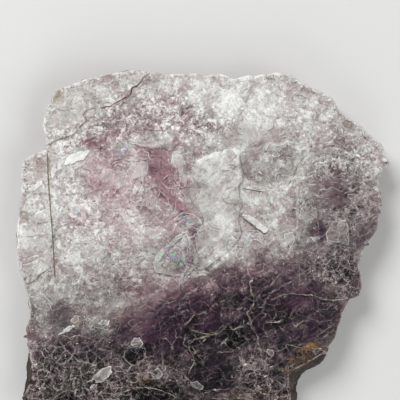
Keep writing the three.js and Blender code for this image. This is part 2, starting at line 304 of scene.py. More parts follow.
# Where rust lies in cracks and along edges.
RUST = patches(
    (31.9, -29.1, 2.7, 1, 1, 25, 0.5), (35.4, -29.7, 2.8, 0.45, 1, 6, 0.5),
    (27.4, -32, 0.45, 2.9, 0.8, -40, 0.5), (24.6, -36.6, 1.4, 0.7, 0.5, 0, 0.5),
    (30, -33.2, 4.2, 1.6, 0.25, 33), (-43.4, 46.4, 1.3, 2, 0.5, -40), (-49, 23.4, 1.6, 2.4, 0.3),
    (10.5, 34.6, 0.6, 0.5, 0.5, 0, 0.5), (-12.6, 52.9, 2, 0.7, 0.45, 0, 0.5),
    (43, 37.5, 1.6, 1.2, 0.3, -30, 0.5), (-35.6, -22.6, 3.6, 1, 0.25, 5), (-17.8, -38.6, 2.6, 1.6, 0.25),
    (14, -43.6, 8, 0.8, 0.3), (41.8, -20.5, 1.1, 5, 0.2, -15, 0.5), (39.2, -27, 1.3, 2.4, 0.25, -15, 0.5),
    (-39, 43, 8, 7, 0.13), (-24.7, -20, 0.9, 0.6, 0.5), (-38.4, -21.4, 1.6, 1.2, 0.3),
)

# Where thin films show colours of their own.
IRIS = patches(
    (-9.5, -2.2, 5.6, 4.6, 1, -25), (-5, 9.5, 4, 2, 0.8, -20), (-24, 30, 3, 1.6, 0.8, 10),
    (-39, 10, 2.6, 3.4, 0.5), (-5, 25, 2, 3, 0.6), (12.5, 2.6, 1.6, 1.6, 0.7),
)


@dataclass(frozen=True)
class Region:
    """A stretch of the face with an edge of its own, and what lies inside it.

    The tone is what is added, lilac and busy likewise, window is how clear and green-black it
    is, rise is its step in mm, and soft is how wide its edge is.
    """

    points: Points
    tone: float = 0.0
    lilac: float = 0.0
    busy: float = 0.0
    window: float = 0.0
    rise: float = 0.0
    soft: float = 0.5

    def weigh(self, x: Array, y: Array) -> Array:
        """1 inside and 0 outside, blended across the edge."""
        return smooth(-self.soft, self.soft, closed_depth(x, y, np.array(self.points)))


# Those of the upper face, then those of the dark lower one.
REGIONS = (
    # Lilac where silver sheets have come off.
    Region(((-22.5, 20.4), (-20.4, 21.4), (-17.2, 21.8), (-16.6, 24.4), (-17.2, 26.6), (-19.6, 27.6),
        (-19.4, 29.9), (-15, 30), (-10.2, 29), (-9.6, 25.6), (-7.2, 22.4), (-7.2, 20.4), (-9, 18.2),
        (-8, 14.6), (-4.6, 13.4), (-1.6, 13.4), (0.2, 10.6), (-0.2, 7.8), (-2.4, 4.6), (-4, 7.4),
        (-6.6, 9), (-8.6, 11.6), (-12.6, 13.4), (-14.6, 16.8), (-18, 19)), tone=-0.07, lilac=0.5,
        busy=-0.1, rise=-0.15),
    Region(((-1.1, 31), (4.6, 30), (3.7, 28.7), (-1.6, 26.6), (-3, 25.2), (-4.4, 23.4), (-6, 24.3),
        (-5.3, 27.7), (-3, 29.3)), tone=-0.12, lilac=0.45, busy=0.2, rise=-0.15),
    Region(((-37.3, 30.7), (-37.1, 32.3), (-34.1, 33), (-29.3, 33.4), (-28.8, 32.1), (-31.6, 31.2),
        (-34.4, 29.8)), tone=-0.12, lilac=0.7, busy=-0.4, rise=-0.1, soft=0.6),
    Region(((-33, 29), (-26, 29), (-25, 24), (-27, 18), (-34, 19), (-37, 23.6), (-36.4, 26.4)),
        tone=-0.02, lilac=0.3, busy=-0.1, soft=1.6),
    Region(((-5.4, 6), (-2.6, 6.6), (-1.8, 3.6), (-2.6, 1), (-2, -2), (-4.4, -4.4), (-5.8, -2),
        (-5, 1.6), (-4.2, 3.2)), tone=-0.08, lilac=0.2, rise=-0.1),
    Region(((-7.2, 19.4), (-6.2, 20.6), (-2.4, 20.8), (1.6, 19.6), (3, 17.4), (1.6, 15.4), (-0.8, 14),
        (-3.4, 13.8), (-5.6, 14.8), (-6.8, 17.2)), tone=-0.09, lilac=0.08, busy=-0.3, soft=0.7),
    # Silver sheets that still lie on it.
    Region(TONGUE, lilac=-0.3, rise=0.3, soft=0.4),
    Region(((-22.2, 31.9), (-20.6, 33.9), (-16.9, 34.9), (-13, 36), (-9, 33.6), (-10.4, 31.6),
        (-13, 31), (-15.5, 30.3), (-18.1, 30.5)), tone=0.1, lilac=-0.3, busy=-0.1, rise=0.2, soft=0.4),
    Region(((-15, -8.4), (-7, -10.4), (-1, -8.6), (5, -4.6), (10, -0.6), (13.6, 4), (12.4, 5.2),
        (7, 0.4), (0, -4.2), (-4, -6.8), (-9, -8.2)), tone=0.1, lilac=-0.15, busy=0.2, rise=0.1,
        soft=0.6),
    # The mauve-grey hollow at the right of the middle.
    Region(((11.3, 29.3), (13.4, 30.6), (17.4, 32.6), (21.5, 30), (26.8, 31.6), (28.2, 28), (26.6, 22),
        (23, 19.6), (17, 19.4), (12.6, 21), (10.8, 25.9)), tone=-0.14, lilac=0.06, busy=-0.12,
        rise=-0.25, soft=0.4),
    Region(((36.4, 20.8), (40.2, 21.6), (42.4, 17), (43.6, 14), (41.4, 12.2), (38.4, 12.6),
        (36.4, 15.6)), tone=-0.01, lilac=0.18, busy=-0.8, rise=-0.15, soft=0.7),
    Region(((31.8, 7.6), (35, 8.2), (36.6, 5.4), (36.4, 2.4), (34.6, 1.6), (31.6, 4)), tone=-0.12,
        lilac=0.4, busy=-0.4, rise=-0.1, soft=0.7),
    # Lower left: mauve-brown hollow, the pale torn sheets under it and their clear panes.
    Region(((-45.5, -16.2), (-42.8, -15), (-39.1, -18.5), (-38.9, -20.1), (-40.5, -22.2), (-41.9, -24),
        (-46.2, -22.2)), tone=-0.09, lilac=0.05, busy=-0.2, rise=-0.2, soft=1.2),
    Region(((-39.1, -23.1), (-36, -21), (-32.4, -20.3), (-27.9, -22.2), (-29, -25), (-31.3, -26.7),
        (-34, -24.8), (-36.8, -25.4)), tone=0.06, lilac=-0.4, busy=0.2, window=0.2, rise=0.2),
    # Clear panes.
    Region(((4.6, -26.8), (8, -24.4), (11.6, -24), (14, -25.6), (14.4, -28.6), (10.6, -30),
        (5.4, -30.4)), tone=-0.04, lilac=-0.3, busy=-0.4, window=0.9, rise=-0.15),
    Region(((-23, -42), (-18.6, -39.8), (-14.4, -38.8), (-9.6, -40.4), (-7.4, -43), (-12, -45.6),
        (-20, -46)), tone=-0.1, lilac=-0.3, busy=-0.5, window=0.9, rise=-0.25, soft=0.8),
    Region(((-23.4, -31), (-21, -29.4), (-18.6, -29.6), (-18.2, -32.6), (-20, -34.4), (-22.8, -33.8)),
        tone=-0.1, lilac=-0.2, busy=-0.4, window=0.6, rise=-0.2, soft=0.4),
    Region(((-44.6, -44), (-43, -43.2), (-40.9, -42.6), (-38.9, -43.6), (-39, -46.4), (-45, -47)),
        tone=-0.14, lilac=-0.2, busy=-0.5, window=0.7, rise=-0.5, soft=0.3),
    Region(((-4.4, -37.2), (-2.4, -34.6), (2, -33.6), (7.6, -33.6), (9.4, -38), (8.6, -41.4),
        (2.4, -42.2), (-1, -41)), tone=-0.03, lilac=0.15, busy=-0.4, rise=-0.1),
    Region(((-2.6, -25.6), (0.6, -24.8), (3, -26.2), (-1.4, -28.8), (-4.2, -30.2), (-5.4, -28.6)),
        tone=-0.06, lilac=-0.2, window=0.8, rise=-0.2, soft=0.4),
    Region(((20.2, -36.9), (21.6, -34.6), (23.6, -34.2), (24.4, -36.2), (23.4, -37.6)), tone=-0.05,
        lilac=-0.2, window=0.7, rise=-0.15, soft=0.4),
)


@dataclass(frozen=True)
class Leaf:
    """A loose leaf on the face: outline, and tone, lilac, busy and edge line over the face's own.

    lift is how high it lies over the face, in mm, and tip is the slope across and up by which
    it stands up from it. Its edge line is partly the leaf's pale edge and partly a painted highlight.
    """

    points: Points
    tone: float = 0.1
    lilac: float = -0.2
    busy: float = -0.4
    edge: float = 0.4
    window: float = 0.0
    lift: float = 0.12
    tip: tuple[float, float] = (0.0, 0.0)


# Those of the upper face, then those of the dark lower one.
LEAVES = (
    Leaf(((-41.9, 25.2), (-41.7, 26.4), (-40.8, 27.6), (-38.9, 28.7), (-36.2, 29.4), (-34.1, 29.6),
        (-34.8, 27.9), (-36.2, 26.7), (-39.2, 25.5)), tone=0.22, lilac=-0.6, lift=0.3, tip=(0, -0.04)),
    Leaf(((-45.6, 20.8), (-46, 22.9), (-44.6, 23.8), (-43.1, 24.5), (-43.8, 22.9)), tone=0.18,
        lilac=-0.6, lift=0.2),
    Leaf(((36, 20.8), (40.4, 21.4), (44, 18.6), (43.4, 14.2), (41, 12.2), (38.2, 13.4), (36.6, 16.6)),
        tone=-0.03, lilac=0.1, edge=0.05, lift=0.1),
    Leaf(((31.4, 4.4), (32.2, 8.8), (35.2, 9.2), (37.2, 6.4), (36.2, 2.8), (33, 2.6)), tone=-0.05,
        lilac=0.15, edge=0.1),
    Leaf(((-15, -3.4), (-13.4, -0.6), (-9.6, 2.4), (-6.4, 5.4), (-5.6, 4.8), (-8.6, 1.4), (-11.8, -1),
        (-14, -4.6)), tone=0.12, lilac=-0.3, edge=0.5, lift=0.3),
    Leaf(((-15.2, -4), (-14.6, -6.6), (-10.6, -8), (-5.6, -8.2), (-5.8, -7.2), (-10.2, -6.8),
        (-13, -5.6), (-14, -3.8)), tone=0.08, lilac=-0.3, edge=0.5, lift=0.3),
    Leaf(((-6.2, 9.5), (-4.1, 10.6), (-2.3, 10.2), (-0.9, 8.8), (0, 7.9), (-0.4, 7.4), (-2.3, 7.9),
        (-3.7, 8.6)), edge=0.9, lift=0.25),
    Leaf(((-5.6, 5.2), (-4.6, 5.6), (-3.6, 2), (-4.8, -1.6), (-5.6, -4.6), (-6.4, -4), (-5.6, -0.6),
        (-4.8, 2.2)), tone=0.07, edge=0.5, lift=0.25),
    Leaf(((-3.4, -7.4), (1, -6.3), (5, -3.9), (9.6, -0.4), (11.2, -1.1), (7, -4.4), (2.4, -7),
        (-2, -8.6)), busy=0, edge=0.3, lift=0.15),
    *(Leaf(((x, top), (x + 0.9, top + 0.4), (x + 1.2, low + 0.4), (x + 0.3, low)), tone=tone,
      lilac=lilac, edge=0.1, lift=0.12) for x, top, low, tone, lilac in (
        (27.6, 18.5, 3, 0.1, -0.2), (29.7, 14, 1.6, 0.09, -0.2), (25.4, 12, 4, 0.06, -0.1),
        (32.7, 20.2, 13.4, -0.02, 0.25), (34.6, 19.6, 13.2, 0.06, 0.1), (26.6, 17, 9, -0.05, 0.1),
        (31.6, 17.6, 10, 0.05, 0),
    )),
    Leaf(((11.8, 29.6), (15.6, 31.6), (20.4, 32), (23.8, 30.4), (22.6, 29), (17.6, 29.4), (13.8, 28)),
        tone=0.05, lilac=-0.1, lift=0.15),
    Leaf(((20.8, 7.8), (25.2, 7.6), (26.4, 6.4), (24, 5.6), (21, 6.2)), tone=0.08, lift=0.15),
    Leaf(((-22.4, 21.2), (-22.8, 23.6), (-20.6, 26), (-17, 26.3), (-16.6, 23.8), (-17.2, 22),
        (-19.4, 21)), tone=0.05, lilac=0, lift=0.25),
    Leaf(((-9.3, 29), (-7.4, 29.6), (-5.8, 27), (-6.4, 23.6), (-4.8, 21.4), (-5.4, 18.6), (-7.2, 20.6),
        (-7.6, 23.4), (-9.8, 26)), tone=0.08, lift=0.25),
    Leaf(((11.3, 10.2), (13, 10.3), (15.6, 8.9), (19.5, 5.9), (18.5, 4.6), (14.9, 7.4)), tone=0.16,
        lilac=-0.4, lift=0.35, tip=(0.02, 0.03)),
    Leaf(((36.5, 4.4), (37.3, 5.6), (40, 5.4), (40.6, 8.4), (42.8, 8.5), (43.3, 7.1), (43.1, 4.8),
        (43.8, 1.2), (40.6, 1.5), (37.2, 1.9)), tone=0.12, lilac=-0.4, edge=0.9, lift=0.3),
    Leaf(((32.2, 3.4), (34.6, 3.7), (34.8, 2.1), (33.4, 2.1)), tone=0.26, lilac=-0.4, lift=0.25),
    Leaf(((28.4, 9), (29.6, 12.8), (33.6, 12.4), (34.2, 9.4), (31.4, 8.2)), tone=0.08, lilac=-0.4,
        lift=0.2),
    Leaf(((24.6, 1.6), (24.2, 4.6), (26.6, 5.2), (27.4, 2.6), (26.2, 0.6)), tone=0.07, lilac=-0.3,
        edge=0.8, lift=0.2),
    Leaf(((4.6, -4.2), (9.4, -1.2), (12.6, 1.2), (12, -1.2), (6, -5.4)), tone=0.06, lilac=-0.3,
        lift=0.15),
    Leaf(((-34.6, -39.2), (-33.3, -38.5), (-30.8, -36.3), (-27.6, -34.8), (-27.3, -37), (-29.5, -39.2),
        (-31.2, -40.2), (-33, -39.9)), tone=0.45, lilac=-0.7, edge=0.9, lift=0.4, tip=(0.03, 0.05)),
    Leaf(((-34.4, -41.6), (-33.3, -40.2), (-32.6, -40.4), (-33.6, -42)), tone=0.5, lilac=-0.6,
        lift=0.25),
    Leaf(((-31.6, -36.6), (-29.9, -35.5), (-30.6, -37), (-33, -38.8), (-33.8, -38.6)), tone=0.2,
        lilac=-0.3, edge=0.8, lift=0.3),
    Leaf(((-21.9, -28.1), (-20.6, -26.7), (-19.2, -26.6), (-18.2, -28.6), (-19.2, -29.7), (-21.3, -29)),
        tone=0.36, lilac=-0.7, edge=0.9, lift=0.5),
    Leaf(((-22.4, -29.6), (-18.6, -29.4), (-20.8, -33.2), (-23.8, -34.6), (-24.8, -33)), tone=0.06,
        lilac=-0.4, edge=0.9, lift=0.3),
    Leaf(((-4.2, -39.9), (-1.7, -39.7), (0.2, -41.4), (-0.6, -42.2), (-2.6, -41.6)), tone=0.28,
        lilac=-0.7, edge=0.9, window=0.3, lift=0.3),
    Leaf(((-15.7, -36.9), (-13.7, -35.5), (-12.1, -37.5), (-13, -39), (-14.8, -38.9)), tone=0.26,
        lilac=-0.6, edge=0.8, window=0.4, lift=0.35),
    Leaf(((-39.8, -21.8), (-38.6, -20), (-37.2, -20.2), (-37.5, -21.7), (-38.6, -22.5)), tone=0.24,
        lilac=-0.6, edge=0.8, lift=0.3),
    Leaf(((-43.6, -26), (-41.8, -24.2), (-39.3, -22.6), (-38.6, -23.1), (-40.6, -24.8)), tone=0.4,
        lilac=-0.6, edge=0.8, lift=0.3),
    Leaf(((-31.6, -22.6), (-30.4, -21.2), (-27.8, -21.6), (-28.6, -22.6)), tone=0.3, lilac=-0.6,
        edge=0.8, lift=0.3),
    Leaf(((-34.6, -22.4), (-32.2, -20.2), (-28.6, -21.6), (-29.4, -23.4), (-32, -23.8)), tone=0.08,
        lilac=-0.5, edge=0.7, window=0.15, lift=0.25),
    Leaf(((-33, -25.4), (-31, -23.6), (-28.4, -24.2), (-29.6, -26.6), (-31.8, -27.4)), tone=0.06,
        lilac=-0.4, edge=0.9, window=0.3, lift=0.2),
    Leaf(((10.8, -35.6), (12.6, -34.2), (16.4, -35.6), (15.8, -36.6), (12.8, -36.2)), tone=0.35,
        lilac=-0.5, edge=0.9, lift=0.2),
    Leaf(((19.2, -31.4), (19, -30.2), (20.8, -30.2), (21.2, -31.6), (20.2, -32.4)), tone=0.3,
        lilac=-0.5, edge=0.9, lift=0.2),
    Leaf(((29.6, -29.8), (32, -30.4), (34.9, -31.9), (31.6, -33.6), (28.4, -35.8), (25.6, -36.5),
        (25.3, -34.6), (27.3, -31.8)), tone=-0.02, edge=1, window=0.2, lift=0.3),
    Leaf(((32.6, -30.6), (36.8, -30.4), (37, -31.4), (34.6, -31.9)), tone=0.28, lilac=-0.5, edge=0.6,
        lift=0.35),
    Leaf(((42.6, -9.2), (45.2, -7.2), (46.6, -9.4), (47, -12), (44.2, -11.4)), tone=0.05, lilac=-0.1,
        edge=0.9, lift=0.25),
    Leaf(((17.4, -26.4), (19, -24.8), (21.4, -23.6), (21.6, -25.2), (19.6, -26.2)), tone=0.12,
        lilac=-0.3, edge=0.6, lift=0.2),
)


def smooth(low: float, high: float, value: Array) -> Array:
    """A smooth step, 3t^2 - 2t^3, from 0 at low to 1 at high. Low may be the larger."""
    t = np.clip((value - low) / (high - low), 0.0, 1.0)
    return t * t * (3.0 - 2.0 * t)


def scatter(ix: Array, iy: Array, seed: int) -> Array:
    """A random number from 0 to 1 for each whole-numbered place: a hash of the two numbers.

    Args:
        ix: First whole number of each place.
        iy: Second whole number of each place.
        seed: Which set of random numbers.

    Returns:
        One number for each place.
    """
    n = ix.astype(np.int64).astype(np.uint32) * np.uint32(374761393)
    n ^= iy.astype(np.int64).astype(np.uint32) * np.uint32(668265263)
    n ^= np.uint32((seed * 2654435761) & 0xFFFFFFFF)
    n = (n ^ (n >> np.uint32(13))) * np.uint32(1274126177)
    n = (n ^ (n >> np.uint32(15))) * np.uint32(2246822519)
    return ((n ^ (n >> np.uint32(16))) & np.uint32(0xFFFFFF)) / float(0xFFFFFF)


def noise(x: Array, y: Array, size: float, seed: int, octaves: int = 1) -> Array:
    """Smooth noise from -1 to 1: random heights on a square lattice, blended between.

    Each octave has half the size and 0.55 of the height of the one before, and is turned.

    Args:
        x: Places across.
        y: Places up.
        size: The lattice's pitch for the first octave.
        seed: Which noise.
        octaves: How many layers are added.

    Returns:
        The noise at each place.
    """
    total, share, weight = np.zeros(np.broadcast(x, y).shape), 0.0, 1.0
    u, v = x / size, y / size
    for octave in range(octaves):
        iu, iv = np.floor(u), np.floor(v)
        fu, fv = u - iu, v - iv
        fu, fv = (f * f * f * (f * (f * 6 - 15) + 10) for f in (fu, fv))
        at = [scatter(iu + i, iv + j, seed + 31 * octave) for j in (0, 1) for i in (0, 1)]
        row = (at[0] + (at[1] - at[0]) * fu, at[2] + (at[3] - at[2]) * fu)
        total += weight * (2.0 * (row[0] + (row[1] - row[0]) * fv) - 1.0)
        share += weight
        weight *= 0.55
        u, v = 1.74 * u - 1.02 * v + 3.1, 1.02 * u + 1.74 * v - 7.7
    return total / share


def warped(
    x: Array, y: Array, by: float, size: float, seed: int, octaves: int = 3
) -> tuple[Array, Array]:
    """Places moved by noise times by: across by the noise of the seed, up by the next seed's."""
    return tuple(at + by * noise(x, y, size, seed + k, octaves) for k, at in enumerate((x, y)))


def cells(x: Array, y: Array, size: float, seed: int) -> tuple[Array, Array, Array]:
    """Cells round one random point in each lattice square: distances to the nearest two points.

    Args:
        x: Places across.
        y: Places up.
        size: The lattice's pitch.
        seed: Which pattern.

    Returns:
        Distance to the nearest point, to the second nearest, and the cell's own random number.
    """
    u, v = x / size, y / size
    iu, iv = np.floor(u), np.floor(v)
    near, next_near = np.full(u.shape, 9.0), np.full(u.shape, 9.0)
    own = np.zeros(u.shape)
    for j in (-1, 0, 1):
        for i in (-1, 0, 1):
            ju, jv = iu + i, iv + j
            du = ju + 0.1 + 0.8 * scatter(ju, jv, seed) - u
            dv = jv + 0.1 + 0.8 * scatter(ju, jv, seed + 1) - v
            far = np.hypot(du, dv)
            closer = far < near
            next_near = np.where(closer, near, np.minimum(next_near, far))
            own = np.where(closer, scatter(ju, jv, seed + 2), own)
            near = np.where(closer, far, near)
    return near * size, next_near * size, own


def segments_near(x: Array, y: Array, a: Array, b: Array) -> tuple[Array, Array, Array, Array]:
    """The nearest of a set of segments to each place.

    Args:
        x: Places across, in a flat array.
        y: Places up, in a flat array.
        a: The segments' starts, one row each.
        b: The segments' ends, one row each.

    Returns:
        Distance, which side (1 on the left of the run, -1 on the right), which segment, and how
        far along it, from 0 to 1.
    """
    run, found = b - a, []
    for px, py in zip(np.array_split(x, CHUNKS), np.array_split(y, CHUNKS)):
        px, py = px[:, None] - a[:, 0], py[:, None] - a[:, 1]
        along = np.clip((px * run[:, 0] + py * run[:, 1]) / (run**2).sum(1), 0.0, 1.0)
        far = np.hypot(px - along * run[:, 0], py - along * run[:, 1])
        best = far.argmin(1)
        row = np.arange(len(px))
        side = run[best, 0] * py[row, best] - run[best, 1] * px[row, best]
        found.append((far[row, best], np.where(side >= 0, 1.0, -1.0), best, along[row, best]))
    return tuple(np.concatenate(part) for part in zip(*found))


def closed_depth(x: Array, y: Array, points: Array) -> Array:
    """How deep each place is inside a closed outline: its distance to it, less than 0 outside.

    Args:
        x: Places across.
        y: Places up.
        points: The outline's corners, one row each.

    Returns:
        The depth at each place.
    """
    a, b = points, np.roll(points, -1, axis=0)
    shape, x, y = x.shape, x.ravel(), y.ravel()
    far = segments_near(x, y, a, b)[0]
    above = (a[:, 1] > y[:, None]) != (b[:, 1] > y[:, None])
    rise = np.where(b[:, 1] == a[:, 1], 1.0, b[:, 1] - a[:, 1])
    cross = a[:, 0] + (b[:, 0] - a[:, 0]) * (y[:, None] - a[:, 1]) / rise
    inside = (above & (x[:, None] < cross)).sum(1) % 2 == 1
    return np.where(inside, far, -far).reshape(shape)


class Traces:
    """A set of lines on the face, measured together."""

    def __init__(self, traces: Sequence[Trace]) -> None:
        """Joins the traces' segments in one set.

        Args:
            traces: The lines.
        """
        runs = [np.array(t.points) for t in traces]
        self.start = np.concatenate([run[:-1] for run in runs])
        self.end = np.concatenate([run[1:] for run in runs])
        self.owner = np.concatenate([np.full(len(run) - 1, i) for i, run in enumerate(runs)])
        step = [np.linalg.norm(np.diff(run, axis=0), axis=1) for run in runs]
        self.before = np.concatenate([np.cumsum(s) - s for s in step])
        self.length = np.concatenate(step)
        self.total = np.array([s.sum() for s in step])
        self.rise, self.reach, self.width, self.strength = np.array(
            [(t.rise, t.reach, t.width, t.strength) for t in traces]).T

    def measure(self, x: Array, y: Array) -> tuple[Array, Array, Array]:
        """The nearest line to each place.

        Args:
            x: Places across, in a flat array.
            y: Places up, in a flat array.

        Returns:
            Distance in line widths, less than 0 on the low side, strength with the line's ends
            tapered, and the step's height: full on the high side at the line, sinking back over
            its reach.
        """
        far, side, which, along = segments_near(x, y, self.start, self.end)
        owner = self.owner[which]
        place = self.before[which] + along * self.length[which]
        end = np.minimum(place, self.total[owner] - place)
        taper = smooth(0.0, 2.2, end)
        rise, reach = self.rise[owner], self.reach[owner]
        high = smooth(-0.22, 0.22, far * side * np.sign(rise + 1e-9))
        step = np.abs(rise) * taper * high * np.exp(-((far / reach) ** 2))
        side = side * np.where(rise < 0, -1.0, 1.0)
        return far * side / self.width[owner], self.strength[owner] * taper, step


@dataclass(frozen=True)
class Face:
    """The front face's relief and tones, as fields over it.

    ply_count is how many sheets have come off at most places, and ply_step each one's step. In
    mm, swell, fragment, ridge and flake are the heights of the slow swells, the torn fragments,
    their borders and the small flakes, and sunk is how far the dark face lies under the pale.
    """

    seams: Traces = Traces(SEAMS)
    clefts: Traces = Traces(CLEFTS)
    veins: Traces = Traces(VEINS)
    ply_count: float = 5.0
    ply_step: float = 0.13
    ply_slopes: tuple[float, float] = (0.03, 4.0)
    swell: float = 0.28
    fragment: float = 0.3
    ridge: float = 0.22
    flake: float = 0.06
    sunk: float = 0.35
    pale_tone: float = 0.71
    dark_tone: float = 0.15
    busy_level: float = 0.45
    edge_level: float = 0.25

    @staticmethod
    def silver_side(x: Array, y: Array) -> Array:
        """1 on the silvery upper face and 0 on the dark lower one, blended between."""
        middle, reach = (np.interp(x, DIVIDE[0], row) for row in DIVIDE[1:])
        return smooth(-1.0, 1.0, (y + 3.0 * noise(x, y, 9.0, 5, 4) - middle) / reach)

    @staticmethod
    def regions(x: Array, y: Array) -> list[Array]:
        """How far each place is inside each region, whose edges are frayed by noise."""
        places = warped(x, y, 0.7, 3.0, 61)
        return [region.weigh(*places) for region in REGIONS]

    def plies(self, x: Array, y: Array) -> Array:
        """How many sheets have come off: noise on warped places. Whole numbers are sheet edges."""
        wx, wy = warped(x, y, 3.5, 11.0, 91)
        return self.ply_count * (1.0 + noise(wx * 0.8, wy * 1.15, 15.0, 95, 4))

    @staticmethod
    def ridges(x: Array, y: Array) -> tuple[Array, Array]:
        """Where the borders of torn fragments stand up: the borders of warped cells.

        Args:
            x: Places across the face.
            y: Places up the face.

        Returns:
            1 on a border, falling to 0, and each fragment's own number.
        """
        wx, wy = warped(x, y, 0.8, 4.0, 13)
        near, next_near, own = cells(wx * 0.9, wy * 1.15, 3.4, 21)
        return smooth(0.8, 0.0, next_near - near), own

    def relief(self, x: Array, y: Array) -> Array:
        """Height over the main face: slow swells, dents and flakes, and the sheets' steps.

        Args:
            x: Places across, in a flat array.
            y: Places up, in a flat array.

        Returns:
            The height at each place, in mm.
        """
        moved = warped(x, y, 0.25, 1.3, 11, 2)
        pale = self.silver_side(x, y)
        swell = self.swell * noise(x, y, 24.0, 1, 3)
        steps = self.seams.measure(*moved)[2] + self.veins.measure(*moved)[2]
        steps = steps + self.clefts.measure(x, y)[2]
        steps = steps + sum(region.rise * share for region, share in zip(REGIONS, self.regions(x, y)))
        ply = self.plies(x, y)
        whole = np.floor(ply)
        terraces = self.ply_step * (whole + smooth(0.0, 0.22, ply - whole) - self.ply_count)
        ridge, own = self.ridges(x, y)
        plates = (self.fragment * own + self.ridge * ridge - 0.2) * (1.0 - 0.85 * pale)
        small = cells(x + 0.4 * noise(x, y, 2.0, 14), y, 1.25, 25)[2]
        flakes = (self.flake + 0.04 * (1.0 - pale)) * small
        fine = 0.04 * noise(x, y, 1.1, 3, 2)
        return swell + steps + terraces + plates + flakes + fine - self.sunk * (1.0 - pale)

    def tones(self, x: Array, y: Array) -> dict[str, Array]:
        """The values that the finish reads.

        Args:
            x: Places across, in a flat array.
            y: Places up, in a flat array.

        Returns:
            By name: the tone, how silvery, lilac, busy, rusty, clear and rainbow-filmed the
            face is, the sheet count and its slope, and the signed distances and strengths of
            the nearest seam and vein.
        """
        wx = x + 1.5 * noise(x, y, 5.0, 41, 3) + 0.6 * noise(x, y, 1.6, 45, 2)
        wy = y + 1.5 * noise(x, y, 5.0, 42, 3) + 0.6 * noise(x, y, 1.6, 46, 2)
        pale = self.silver_side(x, y)
        lx, ly = warped(x, y, 0.5, 2.2, 51)
        seam, seam_strength, _ = self.seams.measure(lx, ly)
        cleft, cleft_strength, _ = self.clefts.measure(0.85 * x + 0.15 * lx, y)
        nearer = np.abs(cleft) < np.abs(seam)
        seam = np.where(nearer, cleft, seam)
        seam_strength = np.where(nearer, cleft_strength, seam_strength)
        vein, vein_strength, _ = self.veins.measure(lx, ly)
        ply = self.plies(x, y)
        reach = 0.2
        slope = np.hypot(self.plies(x + reach, y) - ply, self.plies(x, y + reach) - ply) / reach
        fields = {"tone": SHADE, "lilac": LILAC, "busy": BUSY, "iris": IRIS}
        found = {key: sum(p.weigh(wx, wy) for p in table) for key, table in fields.items()}
        # Paler on the upper face: partly the real silvery, loosened sheets, partly a painted pearly
        # sheen.
        found["tone"] += self.dark_tone + (self.pale_tone - self.dark_tone) * pale
        found["lilac"] += 0.12 + 0.48 * (1.0 - pale)
        found["busy"] += self.busy_level
        found["rust"] = sum(p.weigh(lx, ly) for p in RUST)
        near_edge = smooth(5.0, 0.0, closed_depth(x, y, np.array([c[:2] for c in EDGE])))
        found["rust"] += near_edge * (0.1 + 0.34 * noise(x, y, 6.0, 57, 3)) * pale
        found["window"] = np.zeros(len(x))
        for region, share in zip(REGIONS, self.regions(x, y)):
            for key in ("tone", "lilac", "busy", "window"):
                found[key] += getattr(region, key) * share
        found = {key: np.clip(value, 0.0, 1.0) for key, value in found.items()}
        return found | {
            "pale": pale,
            "edge": np.full(len(x), self.edge_level),
            "ridge": self.ridges(x, y)[0],
            "ply": ply,
            "ply_slope": np.clip(slope, *self.ply_slopes),
            "seam": np.clip(seam, -FARTHEST, FARTHEST),
            "seam_strength": seam_strength,
            "vein": np.clip(vein, -FARTHEST, FARTHEST),
            "vein_strength": vein_strength,
        }


# --- Meshes

def put_mesh(
    name: str,
    places: Array,
    faces: Sequence[tuple[Array, int, bool]],
    values: dict[str, Array],
) -> bpy.types.Object:
    """Puts arrays into a new mesh object at the origin.

    Args:
        name: The object's name.
        places: Vertices in mm, one row each.
        faces: Runs of faces: corner numbers with one row a face, material number, and whether
            the faces are smooth-shaded.
        values: Vertex attributes by name.

    Returns:
        The object, linked to the scene.
    """
    mesh = bpy.data.meshes.new(name)
    corners = np.concatenate([run.ravel() for run, _, _ in faces]).astype(np.int32)
    counts = np.concatenate([np.full(len(run), run.shape[1]) for run, _, _ in faces])
    starts = (np.cumsum(counts) - counts).astype(np.int32)
    mesh.vertices.add(len(places))
    mesh.vertices.foreach_set("co", (places * MM).astype(np.float32).ravel())
    mesh.loops.add(len(corners))
    mesh.loops.foreach_set("vertex_index", corners)
    mesh.polygons.add(len(counts))
    mesh.polygons.foreach_set("loop_start", starts)
    slots = np.concatenate([np.full(len(run), slot) for run, slot, _ in faces])
    mesh.polygons.foreach_set("material_index", slots.astype(np.int32))
    rounded = np.concatenate([np.full(len(run), smooth_one) for run, _, smooth_one in faces])
    mesh.polygons.foreach_set("use_smooth", rounded)
    mesh.update(calc_edges=True)
    mesh.validate()
    for key, value in values.items():
        layer = mesh.attributes.new(key, "FLOAT", "POINT")
        layer.data.foreach_set("value", value.astype(np.float32))
    thing = bpy.data.objects.new(name, mesh)
    bpy.context.scene.collection.objects.link(thing)
    return thing


def finish_piece(thing: bpy.types.Object, materials: Iterable[bpy.types.Material]) -> None:
    """Gives a piece its materials and its body, and reports it.

    Args:
        thing: The piece.
        materials: Its materials, in slot order.
    """
    for material in materials:
        thing.data.materials.append(material)
    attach(thing, BODY)
    sizes = [len(p.vertices) - 2 for p in thing.data.polygons]
    LOG.info("%s: %d triangles", thing.name, sum(sizes))


